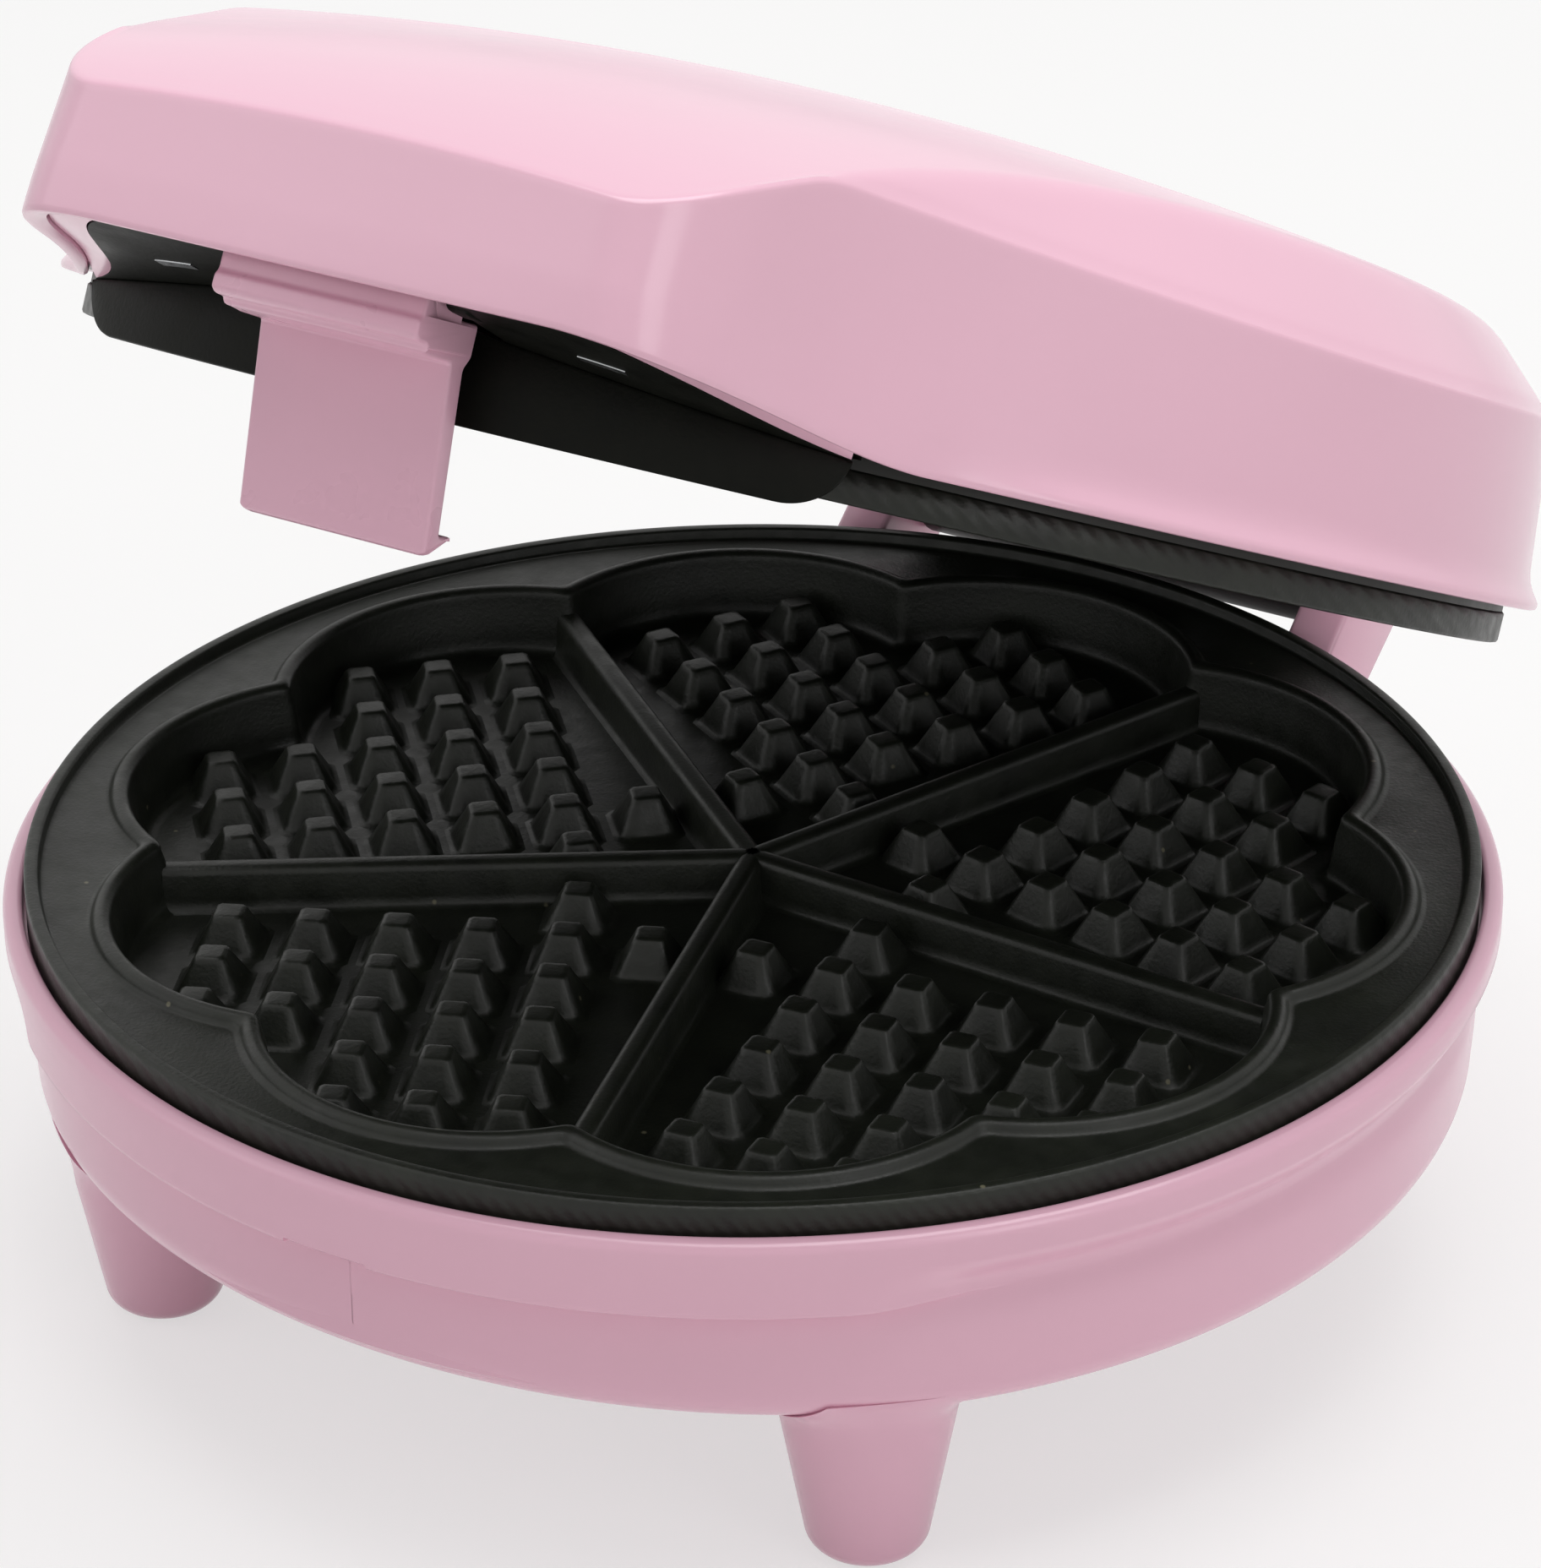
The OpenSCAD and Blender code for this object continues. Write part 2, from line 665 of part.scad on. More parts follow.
heater_end = heater_ring_r * [sin(heater_gap / 2), cos(heater_gap / 2)];
heater_end_z = pan_z - heater_seat - heater_r - heater_leg;
wire_r = 1;
wire_gap = 0.3;
wire_route = [
    [heater_end[0], heater_end[1], heater_end_z - wire_gap],
    [heater_end[0], heater_end[1], heater_end_z - wire_gap - wire_r],
    [heater_end[0], heater_end[1] + 2 * wire_r, (heater_end_z + base_floor_z + terminal_h / 2) / 2],
    [heater_end[0], terminal_y - 4 * wire_r, base_floor_z + terminal_h / 2],
    [heater_end[0], terminal_y - wire_gap, base_floor_z + terminal_h / 2]];

module base_wiring() {
    color("#7A2E2A") on_base() mirror_x() wire(wire_route, wire_r);
}

// ---- inlet and lamps -----------------------------------------------------

gland_face_y = base_r + 1.2;
gland_flange_t = 2;

module cord_gland() {
    color(black) on_base() translate([0, gland_face_y, -gland_z]) rotate([-90, 0, 0]) difference() {
        union() {
            cylinder(r = gland_flange_r, h = gland_flange_t);
            translate([0, 0, -10]) cylinder(r = gland_r, h = 10 + eps);
        }
        translate([0, 0, -11]) cylinder(r = gland_bore_r, h = 20);
    }
}

lens_z = -24;
lens_in = 4.6;

module indicator_lenses() {
    color("#C23A2C") on_base() for (s = [-1, 1])
        translate([-base_r + lens_in, s * lens_pitch / 2, lens_z]) rotate([0, -90, 0]) {
            cylinder(r = lens_r, h = lens_in);
            intersection() {
                translate([0, 0, lens_in - 2.2]) sphere(r = 3.2);
                translate([0, 0, lens_in - eps]) cylinder(r = lens_r, h = 3);
            }
        }
}

module lamp_board() {
    color("#2F6B3A") on_base() translate([-base_r + lens_in + 0.3, -lens_pitch / 2 - 5, base_floor_z])
        cube([1.6, lens_pitch + 10, 9.5]);
}

// ---- hinge ---------------------------------------------------------------

hinge_pin_half = ear_x - 1.6;

module hinge_pin() {
    color(steel) on_base() x_rod(hinge_pin_r, hinge_pin_half, hinge_y, hinge_z);
}

// The lid's pin height above the upper plate's face, and the block that holds the pin.
block_z = hinge_z + plate_nest;
block_top = block_z + 12.25;
block_front_y = pan_r + 0.8;
block_outline = [[hinge_y - barrel_r, block_z], [tongue_y + 0.4, frame_top], [block_front_y, frame_top],
    [block_front_y, block_top], [block_front_y + 5.2, block_top], [hinge_y, block_z + barrel_r],
    [hinge_y, block_z]];

module hinge_block() {
    color(black) on_lid() difference() {
        union() {
            side_bar(barrel_x, block_outline);
            x_rod(barrel_r, barrel_x, hinge_y, block_z);
        }
        x_rod(hinge_pin_r + pin_clear, barrel_x + 1, hinge_y, block_z);
        for (s = [-1, 1]) translate([s * block_screw_x, block_screw_y, 0])
            cylinder(r = small_screw_r + fit, h = 11);
    }
}

block_screw_x = 16;
block_screw_y = tongue_y - 2;
block_head_r = 1.8;
block_head_h = 1.2;

module hinge_block_screws() {
    color(steel) on_lid() for (s = [-1, 1]) translate([s * block_screw_x, block_screw_y, upper_flange_t]) {
        translate([0, 0, -block_head_h / 2]) cylinder(r = small_screw_r, h = frame_t + 6);
        translate([0, 0, -block_head_h]) cylinder(r = block_head_r, h = block_head_h);
    }
}

// ---- lid -----------------------------------------------------------------

// A steel ring that sits on the upper plate's flange and carries the shell, the guard and the hinge.
module lid_frame() {
    color(steel) on_lid() translate([0, 0, upper_flange_t]) difference() {
        union() {
            difference() {
                cylinder(r = frame_r, h = frame_t);
                translate([0, 0, -1]) cylinder(r = pan_r + 0.3, h = frame_t + 2);
            }
            difference() {
                cylinder(r = frame_r, h = frame_wall_h);
                translate([0, 0, -1]) cylinder(r = frame_r - frame_wall_t, h = frame_wall_h + 2);
            }
            translate([-tongue_x, pan_r + 0.5, 0]) cube([2 * tongue_x, tongue_y - pan_r - 0.5, frame_t]);
        }
        translate([-barrel_x - 0.6, block_front_y - 8, frame_t]) cube([2 * barrel_x + 1.2, 20, 20]);
        translate([-guard_end_x - 1, -guard_y - 2, frame_t]) cube([2 * guard_end_x + 2, 24, 20]);
        for (a = screw_angles) rotate(a)
            translate([screw_ring_r, 0, -1]) cylinder(r = small_screw_r + fit, h = frame_t + 2);
        for (s = [-1, 1]) {
            translate([s * block_screw_x, block_screw_y, -1]) cylinder(r = small_screw_r + fit, h = frame_t + 2);
            rotate(s * guard_screw_a) translate([0, -screw_ring_r, -1])
                cylinder(r = small_screw_r + fit, h = frame_t + 2);
        }
    }
}

function smooth_min(a, b, k) = let (h = max(k - abs(a - b), 0) / k) min(a, b) - h * h * k / 4;
function smooth_max(a, b, k) = -smooth_min(-a, -b, k);
function smooth_step(a, b, x) = let (t = min(max((x - a) / (b - a), 0), 1)) t * t * (3 - 2 * t);

// Angle s is measured from the front, towards the lid's right side.
flank_slope = 0.197;
corner_blend = 19.4;
flank_blend = 24.8;
function off_front(s) = abs(s > 180 ? s - 360 : s);
function nose_radius(a, in) = a > 80 ? 0 : let (
    front = (nose_y - in) / cos(a),
    flank = (nose_x - in + flank_slope * nose_y) / (sin(a) + flank_slope * cos(a)))
    smooth_min(front, flank, corner_blend);
// Radius of the lid's outline, from the body's radius and the nose drawn in by a distance.
function outline(s, body, in) = smooth_max(body, nose_radius(off_front(s), in), flank_blend);

// Height of the domed top.
dome_back = 75;
dome_mid_y = -28.3;
function side_fall(y) = 0.00102 + 0.00035 * exp(-pow((y + 80) / 22, 2));
function dome(x, y) = crown_z - crown_fall * pow((y - dome_mid_y) / dome_back, 2)
    - nose_fall * exp(-(y + nose_y - 4.5) / 32.9) - side_fall(y) * x * x;

function lip_height(s) = lip_z + (nose_lip_z - lip_z) * (1 - smooth_step(14.3, 37.2, off_front(s)));
function edge_radius(s) = outline(s, lid_top_r, 1.4);
function at(s, r) = [r * sin(s), -r * cos(s)];
function wall_top(s) = let (p = at(s, edge_radius(s)), a = min(off_front(s), 90))
    smooth_min(dome(p[0], p[1]), wall_top_z + wall_rise * (1 - sin(a)), 1);
function top_height(s, r) = let (p = at(s, r))
    smooth_min(dome(p[0], p[1]), wall_top(s) + bevel_slope * (edge_radius(s) - r), 1.5);

function point(s, r, z) = [r * sin(s), -r * cos(s), z];
lid_n = 108;
function lid_angle(i) = let (t = 360 * i / lid_n) t - 11.5 * sin(2 * t);

// Wall rings from the lip upwards: body radius, nose inset, and height above the lip.
function flare(s) = smooth_step(22, 40, off_front(s));
function wall_ring(body, in, up) = [for (i = [0 : lid_n - 1]) let (s = lid_angle(i))
    point(s, outline(s, body + (lid_r - 2 - body) * (1 - flare(s)) * (up < 5 ? 1 : 0), in), lip_height(s) + up)];
function edge_ring(in, drop) = [for (i = [0 : lid_n - 1]) let (s = lid_angle(i))
    point(s, edge_radius(s) - in, wall_top(s) - drop)];
function top_ring(f, t) = [for (i = [0 : lid_n - 1]) let (s = lid_angle(i), r = (edge_radius(s) - t) * f)
    point(s, r, top_height(s, r) - t)];

top_steps = [0.985, 0.93, 0.87, 0.81, 0.76, 0.70, 0.6, 0.45, 0.3, 0.15];
inner_steps = [1, 0.9, 0.8, 0.7, 0.5, 0.25];
lid_rings = concat(
    [wall_ring(lid_r - shell_t, shell_t, 0.2), wall_ring(lid_r, 0, 0), wall_ring(lid_r, 0, 0.9),
        wall_ring(lid_r - 1.2, 0.1, 2.6), wall_ring(lid_r - 1.9, 0.3, 5.5), edge_ring(-0.2, 1.2),
        edge_ring(0.3, 0.1)],
    [for (f = top_steps) top_ring(f, 0)]);
lid_inner_rings = concat(
    [for (k = [len(inner_steps) - 1 : -1 : 0]) top_ring(inner_steps[k], shell_t)],
    [edge_ring(shell_t, 4), wall_ring(lid_r - 1.9 - shell_t, 0.3 + shell_t, 5.5)]);

function skin(base, n) = [for (j = [0 : n - 2], i = [0 : lid_n - 1])
    let (a = base + j * lid_n + i, b = base + j * lid_n + (i + 1) % lid_n)
    each [[a, a + lid_n, b], [b, a + lid_n, b + lid_n]]];
function fan(base, tip, flip) = [for (i = [0 : lid_n - 1]) let (a = base + i, b = base + (i + 1) % lid_n)
    flip ? [b, a, tip] : [a, tip, b]];

module lid_skin() {
    outer_n = len(lid_rings);
    inner_n = len(lid_inner_rings);
    outer = [for (r = lid_rings) each r];
    inner = [for (r = lid_inner_rings) each r];
    inner_at = outer_n * lid_n;
    tips = [[0, 0, dome(0, 0)], [0, 0, dome(0, 0) - shell_t]];
    tip_at = inner_at + inner_n * lid_n;
    polyhedron(concat(outer, inner, tips), concat(
        skin(0, outer_n), fan((outer_n - 1) * lid_n, tip_at, false),
        fan(inner_at, tip_at + 1, true), skin(inner_at, inner_n),
        [for (i = [0 : lid_n - 1]) let (a = inner_at + (inner_n - 1) * lid_n + i,
            b = inner_at + (inner_n - 1) * lid_n + (i + 1) % lid_n, c = i, d = (i + 1) % lid_n)
            each [[a, c, b], [b, c, d]]]));
}

module lid_shell() {
    color(pink_light) on_lid() difference() {
        lid_skin();
        translate([-barrel_x - 0.5, block_front_y, -1]) cube([2 * barrel_x + 1, hinge_y - block_front_y, block_top + 1.5]);
    }
}

// ---- guard and latch -----------------------------------------------------

latch_slot_half = latch_w / 2 + 0.8;
latch_ear_t = 2.6;
latch_ear_top = latch_pin_z + 2.6;
shelf_front = nose_y - shell_t - 0.6;
shelf_x = nose_x - 16.1;
shelf_end_x = nose_x - 6;

module front_guard() {
    color(black) on_lid() difference() {
        union() {
            front_sector(guard_y - guard_t, guard_y, -guard_drop, shelf_z + shelf_t, guard_half);
            difference() {
                translate([0, 0, shelf_z]) linear_extrude(shelf_t)
                    polygon([[-shelf_x, -shelf_front], [shelf_x, -shelf_front], [shelf_end_x, -guard_y - 1.5],
                        [shelf_end_x, -guard_y + 8], [-shelf_end_x, -guard_y + 8],
                        [-shelf_end_x, -guard_y - 1.5]]);
                translate([0, 0, shelf_z - 1]) cylinder(r = guard_y - guard_t / 2, h = shelf_t + 2);
            }
            mirror_x() translate([latch_slot_half, -latch_pin_y - 3, shelf_z])
                cube([latch_ear_t, 6.5, latch_ear_top - shelf_z]);
            intersection() {
                for (s = [-1, 1]) rotate(s * guard_screw_a) translate([-4, -guard_y, frame_top])
                    cube([8, guard_y - pan_r + 4, shelf_z + shelf_t - frame_top]);
                difference() {
                    cylinder(r = guard_y - guard_t / 2, h = shelf_z + shelf_t);
                    translate([0, 0, -1]) cylinder(r = pan_r + 0.5, h = shelf_z + shelf_t + 2);
                }
            }
        }
        translate([-latch_slot_half, -shelf_front - 1, shelf_z - 1])
            cube([2 * latch_slot_half, shelf_front - guard_y + 0.4, 20]);
        x_rod(latch_pin_r + fit, 30, -latch_pin_y, latch_pin_z);
        mirror_x() rotate([90, 0, 0]) linear_extrude(guard_y + 5) {
            polygon([[shelf_end_x + 2.4, shelf_z + 0.6], [guard_end_x + 8, shelf_z - 5.8],
                [guard_end_x + 8, shelf_z + 9], [shelf_end_x + 2.4, shelf_z + 9]]);
            polygon(concat(arc([guard_end_x - guard_corner, guard_corner - guard_drop], guard_corner, -90, 0, 8),
                [[guard_end_x + 1, guard_corner - guard_drop], [guard_end_x + 1, -guard_drop - 1],
                [guard_end_x - guard_corner, -guard_drop - 1]]));
        }
        for (s = [-1, 1]) {
            rotate(s * guard_screw_a) translate([0, -screw_ring_r, frame_top - 1])
                cylinder(r = small_screw_r + fit, h = 9);
            translate([s * guard_slot_x - 4, -guard_slot_y, shelf_z - 1]) cube([8, 1.4, shelf_t + 2]);
        }
    }
}

guard_screw_a = 19;
guard_slot_x = 27;
guard_slot_y = guard_y + 6.9;

module guard_screws() {
    color(steel) on_lid() for (s = [-1, 1]) rotate(s * guard_screw_a)
        translate([0, -screw_ring_r, upper_flange_t + 0.4]) {
            cylinder(r = small_screw_r, h = shelf_z + shelf_t - upper_flange_t);
            translate([0, 0, shelf_z + shelf_t - upper_flange_t - 0.4]) cylinder(r = block_head_r, h = block_head_h);
        }
}

module latch_pin() {
    color(steel) on_lid() x_rod(latch_pin_r, latch_slot_half + latch_ear_t, -latch_pin_y, latch_pin_z);
}

spring_half = 3.2;
spring_r = latch_pin_r + 0.15 + spring_wire_r;
spring_slot_x = spring_half + 2 * spring_wire_r;
function spring_point(t) = [-spring_half + 2 * spring_half * t,
    -latch_pin_y + spring_r * cos(360 * spring_turns * t), latch_pin_z + spring_r * sin(360 * spring_turns * t)];

module latch_spring() {
    n = spring_turns * 12;
    color(steel) on_lid() wire([for (i = [0 : n]) spring_point(i / n)], spring_wire_r);
}

// Outline of the latch in the Y-Z plane: the grip, the leaning plate and the hook.
grip_y = -latch_pin_y - 6.9;
grip_z = latch_pin_z - 3.3;
plate_top = [-latch_pin_y + 2.6, latch_pin_z - 8.1];
plate_low = [-hook_y - 4.6, -ledge_z - 2.4];
latch_outline = [
    [grip_y + 0.2, grip_z], [grip_y, grip_z - 1.8], [grip_y + 1.8, grip_z - 2.3], [grip_y + 2, grip_z - 3.3],
    [grip_y + 4, grip_z - 3.6], [grip_y + 4.2, grip_z - 4.8], plate_top, plate_low,
    [plate_low[0] + 1, plate_low[1] - 0.3], [-hook_y, -ledge_z], [-hook_y - 2.6, -ledge_z],
    [plate_top[0] + latch_t, plate_top[1] - 0.4], [plate_top[0] + 4.1, plate_top[1] + 1],
    [plate_top[0] + 4.1, grip_z]];

module latch() {
    color(pink) on_lid() difference() {
        union() {
            side_bar(latch_w / 2, latch_outline);
            side_bar(latch_w / 2, [[-latch_pin_y - latch_barrel_r, grip_z - 1.2],
                [-latch_pin_y + latch_barrel_r, grip_z - 1.2], [-latch_pin_y + latch_barrel_r, latch_pin_z],
                [-latch_pin_y - latch_barrel_r, latch_pin_z]]);
            x_rod(latch_barrel_r, latch_w / 2, -latch_pin_y, latch_pin_z);
        }
        x_rod(latch_pin_r + pin_clear, latch_w, -latch_pin_y, latch_pin_z);
        translate([-spring_slot_x, -latch_pin_y - 12, latch_pin_z - spring_r - 2 * spring_wire_r])
            cube([2 * spring_slot_x, 24, 20]);
    }
}

base_shell();
feet();
foot_pads();
lower_plate();
lower_heating_element();
lower_reflector();
lower_plate_screws();
thermostat();
thermal_fuse();
terminal_block();
base_wiring();
cord_gland();
indicator_lenses();
lamp_board();
hinge_pin();
lid_shell();
lid_frame();
front_guard();
guard_screws();
upper_plate();
upper_plate_screws();
upper_heating_element();
upper_reflector();
upper_reflector_screws();
hinge_block();
hinge_block_screws();
latch_pin();
latch_spring();
latch();
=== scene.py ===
# %% [markdown]
# # A heart waffle maker, built around its own frame
# The machine is a round pink moulding on four feet, with a black coated baking plate in it, and a
# domed lid that swings on a hinge at the back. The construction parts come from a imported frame.
# Here each visible moulding is drawn again as one smooth surface, worked out with numpy from the
# sizes of the part, and each surface gets a material made of shader nodes.

# %% Load the frame
import json
import math

import bpy
import numpy as np
from mathutils import Matrix, Vector
from mathutils.geometry import tessellate_polygon

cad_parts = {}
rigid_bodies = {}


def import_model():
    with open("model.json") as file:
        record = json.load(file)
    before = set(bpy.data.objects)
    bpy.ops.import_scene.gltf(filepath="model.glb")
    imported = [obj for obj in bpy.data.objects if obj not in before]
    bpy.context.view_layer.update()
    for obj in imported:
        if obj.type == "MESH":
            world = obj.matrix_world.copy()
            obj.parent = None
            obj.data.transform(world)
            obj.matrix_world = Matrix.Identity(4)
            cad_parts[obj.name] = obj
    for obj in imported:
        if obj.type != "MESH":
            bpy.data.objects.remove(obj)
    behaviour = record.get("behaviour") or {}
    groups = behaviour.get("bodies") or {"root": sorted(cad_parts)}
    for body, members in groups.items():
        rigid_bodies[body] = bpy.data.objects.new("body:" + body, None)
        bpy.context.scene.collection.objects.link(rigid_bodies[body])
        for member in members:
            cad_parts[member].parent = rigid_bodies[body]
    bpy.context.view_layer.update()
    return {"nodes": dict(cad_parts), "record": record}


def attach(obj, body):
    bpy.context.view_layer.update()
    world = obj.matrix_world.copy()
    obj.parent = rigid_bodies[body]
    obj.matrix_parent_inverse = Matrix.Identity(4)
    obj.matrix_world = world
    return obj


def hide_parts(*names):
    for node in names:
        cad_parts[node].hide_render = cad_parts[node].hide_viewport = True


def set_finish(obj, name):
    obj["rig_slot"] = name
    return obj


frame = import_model()
nodes = frame["nodes"]
print("nodes in the frame:", len(nodes))

# %% [markdown]
# ## Places
# The base is drawn in millimetres from the middle of the lower plate's rim, and the lid from the
# middle of the upper plate's face, as if it were shut. Two functions carry such points to the
# frame: one slides them, the other also swings them about the hinge pin.

# %% Sizes shared by many pieces, in millimetres
PLATE_R, LIP_R, BASE_R = 95.0, 98.0, 95.5
UPPER_R, LID_R, LID_TOP_R = 92.7, 96.5, 92.8
HINGE_Y, HINGE_Z, NEST = 106.6, 1.25, 1.5
PLATE_Z, CENTRE_Y = 57.3, 8.55
LID_OPEN = math.radians(26.5)
BODY_OF = {"base": "base", "lid": "lid", "latch": "latch_lever"}


def base_place(p):
    """Base points to the frame: y less the centre's offset, z plus the plate's height, in metres."""
    return (np.asarray(p, float) + (0, -CENTRE_Y, PLATE_Z)) * 0.001


def lid_place(p):
    """Lid points to the frame: turned about the hinge pin by the angle the lid stands open."""
    q = np.asarray(p, float) - (0, HINGE_Y, HINGE_Z + NEST)
    c, s = math.cos(LID_OPEN), math.sin(LID_OPEN)
    y, z = q[..., 1] * c + q[..., 2] * s, -q[..., 1] * s + q[..., 2] * c
    return base_place(np.stack([q[..., 0], y + HINGE_Y, z + HINGE_Z], -1))


print("middle of the upper plate in the frame:", np.round(lid_place((0, 0, 0)), 4), "m")


# %% Small functions of numbers
def soft_min(a, b, k):
    """The smaller of a and b, rounded over a width k where they cross."""
    h = np.maximum(k - np.abs(a - b), 0) / k
    return np.minimum(a, b) - h * h * k / 4


def soft_max(a, b, k):
    """The larger of a and b, rounded over a width k where they cross."""
    return -soft_min(-a, -b, k)


def step(a, b, x):
    """0 below a, 1 above b, and the smooth cubic between them."""
    t = np.clip((x - a) / (b - a), 0, 1)
    return t * t * (3 - 2 * t)


def arc(cx, cy, r, a0, a1, n):
    """n + 1 points of a circle about (cx, cy) from angle a0 to a1, in degrees."""
    a = np.radians(np.linspace(a0, a1, n + 1))
    return np.stack([cx + r * np.cos(a), cy + r * np.sin(a)], -1)


print("step a quarter and half of the way:", step(0, 1, 0.25), step(0, 1, 0.5))

# %% [markdown]
# ## From grids to meshes
# A surface is a grid of points, rows by columns. Each small square of the grid becomes a face with
# four corners. Rows can close on themselves, and the first or last row can close in one point.

# %% Faces of a grid, and a closed shell made of them
def grid_faces(rows, cols, closed=True, loop=False):
    """Corner numbers of a grid's squares: (i, j), (i, j+1), (i+1, j+1), (i+1, j)."""
    i, j = np.meshgrid(np.arange(rows if loop else rows - 1), np.arange(cols if closed else cols - 1),
                       indexing="ij")
    a, b = i * cols + j, i * cols + (j + 1) % cols
    k = (i + 1) % rows * cols
    return np.stack([a, b, k + (j + 1) % cols, k + j], -1).reshape(-1, 4)


def fan_faces(start, cols, pole, flip=False):
    """Triangles from one row of a grid to a single point."""
    j = np.arange(cols)
    a, b = start + j, start + (j + 1) % cols
    f = np.stack([b, a, np.full(cols, pole)] if flip else [a, b, np.full(cols, pole)], -1)
    return f


def shell(grid, start_pole=None, end_pole=None):
    """A grid of closed rows, with a point that closes its first and its last row where given."""
    rows, cols = grid.shape[:2]
    verts, quads, tris = [grid.reshape(-1, 3)], grid_faces(rows, cols), []
    n = rows * cols
    for pole, start, flip in ((start_pole, 0, True), (end_pole, n - cols, False)):
        if pole is not None:
            verts.append(np.asarray(pole, float).reshape(1, 3))
            tris.append(fan_faces(start, cols, n, flip))
            n += 1
    return np.concatenate(verts), quads, np.concatenate(tris) if tris else np.zeros((0, 3), int)


print("a closed grid of 3 by 8 points has", len(grid_faces(3, 8)), "squares")


# %% Shells that look outward, and several in one
def outward(part):
    """A closed surface with its faces looking out: the sum of a . (b x c) / 6 over its triangles is
    its volume, which comes out negative when they look in."""
    v, q, t = part
    corners = v[np.concatenate([q[:, [0, 1, 2]], q[:, [0, 2, 3]], t])]
    volume = np.einsum("ij,ij->i", corners[:, 0], np.cross(corners[:, 1], corners[:, 2])).sum() / 6
    return (v, q, t) if volume > 0 else (v, q[:, ::-1], t[:, ::-1])


def join(parts):
    """Several closed surfaces in one: corner numbers go up by the points before them."""
    verts, quads, tris, n = [], [], [], 0
    for v, q, t in map(outward, parts):
        verts.append(v)
        quads.append(q + n)
        tris.append(t + n)
        n += len(v)
    return np.concatenate(verts), np.concatenate(quads), np.concatenate(tris)


print("pieces ride on the bodies", ", ".join(BODY_OF.values()))


# %% From a shell to a mesh object on its body
def piece(name, part, body, slot, replaces=(), sharp=38):
    """Makes the mesh object, smooth but for edges sharper than the angle, and hangs it on a body."""
    verts, quads, tris = part
    verts = {"base": base_place, "lid": lid_place, "latch": lid_place}[body](verts)
    mesh = bpy.data.meshes.new(name)
    mesh.vertices.add(len(verts))
    mesh.vertices.foreach_set("co", verts.astype(np.float32).ravel())
    corners = np.concatenate([quads.ravel(), tris.ravel()]).astype(np.int32)
    totals = np.concatenate([np.full(len(quads), 4), np.full(len(tris), 3)]).astype(np.int32)
    mesh.loops.add(len(corners))
    mesh.loops.foreach_set("vertex_index", corners)
    mesh.polygons.add(len(totals))
    mesh.polygons.foreach_set("loop_start", np.concatenate([[0], np.cumsum(totals)[:-1]]).astype(np.int32))
    mesh.update(calc_edges=True)
    mesh.validate()
    mesh.polygons.foreach_set("use_smooth", np.ones(len(mesh.polygons), bool))
    mesh.set_sharp_from_angle(angle=math.radians(sharp))
    obj = bpy.data.objects.new(name, mesh)
    bpy.context.scene.collection.objects.link(obj)
    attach(obj, BODY_OF[body])
    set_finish(obj, slot)
    if replaces:
        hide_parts(*replaces)
    print(f"{name}: {len(verts)} points, {2 * len(quads) + len(tris)} triangles")
    return obj


# %% [markdown]
# ## The moulds
# Five hearts meet at the plate's middle. Their outer edge is one line of ten round lobes, so its
# radius is a formula of the angle. Rows of points follow that line from the mould's floor up its
# wall, over the bead, and out to the round rim: every row is the lobed line or a circle, or a mix.
# Studs and dividing walls are small closed shells of their own. They are sunk a little into the
# floor and joined to the plate's mesh, which is simpler than cutting them out of it.

# %% The lobed line
HEARTS, HEART_TURN = 5, -2.5
LOBE_PLACE, LOBE_R, LOBE_TURN = 56.0, 29.5, 36
RING_Z, MOULD_DEPTH, PAN_R = -1.8, 8.0, 88.0


def lobed(angle, grow=0.0, k=1.5):
    """Radius of ten circles round the middle, at angle in degrees, grown by a width: for the two
    nearest circles it is place * cos(d) + sqrt(r^2 - (place * sin(d))^2), the larger one, rounded."""
    t = np.mod(angle - HEART_TURN - LOBE_TURN / 2, LOBE_TURN)
    r = LOBE_R + grow
    reach = []
    for d in (np.radians(t), np.radians(LOBE_TURN - t)):
        beside = np.maximum(r * r - (LOBE_PLACE * np.sin(d)) ** 2, 0)
        reach.append(LOBE_PLACE * np.cos(d) + np.sqrt(beside))
    return soft_max(reach[0], reach[1], k)


def ray_rows(rows, count):
    """Rows of (radius as a function of angle or a number, height) on count rays from the middle."""
    a = np.linspace(0, 360, count, endpoint=False)
    out = []
    for radius, z in rows:
        r = radius(a) if callable(radius) else np.full(count, float(radius))
        out.append(np.stack([r * np.cos(np.radians(a)), r * np.sin(np.radians(a)), np.full(count, z)], -1))
    return np.array(out)


def line(grow, shift=0.0):
    """A row's radius: the lobed line grown, and moved in or out."""
    return lambda a: lobed(a, grow) + shift


radii = lobed(np.arange(360.0))
print("lobed line: radius", round(float(radii.min()), 1), "to", round(float(radii.max()), 1), "mm")

# %% The lower plate's rows: mould floor, wall, bead, ring, rim and underside
FLOOR_Z = RING_Z - MOULD_DEPTH
STEP_R, RIM_R, SIDE_LOW, PLATE_LOW = 92.4, 93.6, -6.4, -12.3
FLOOR_EDGE = [(-3.2, 0), (-2.4, 0.15), (-1.8, 0.55), (-1.45, 1.2), (-1.2, 2.2)]  # in from the line, up
BEAD_H, BEAD_HALF = 1.5, 1.3

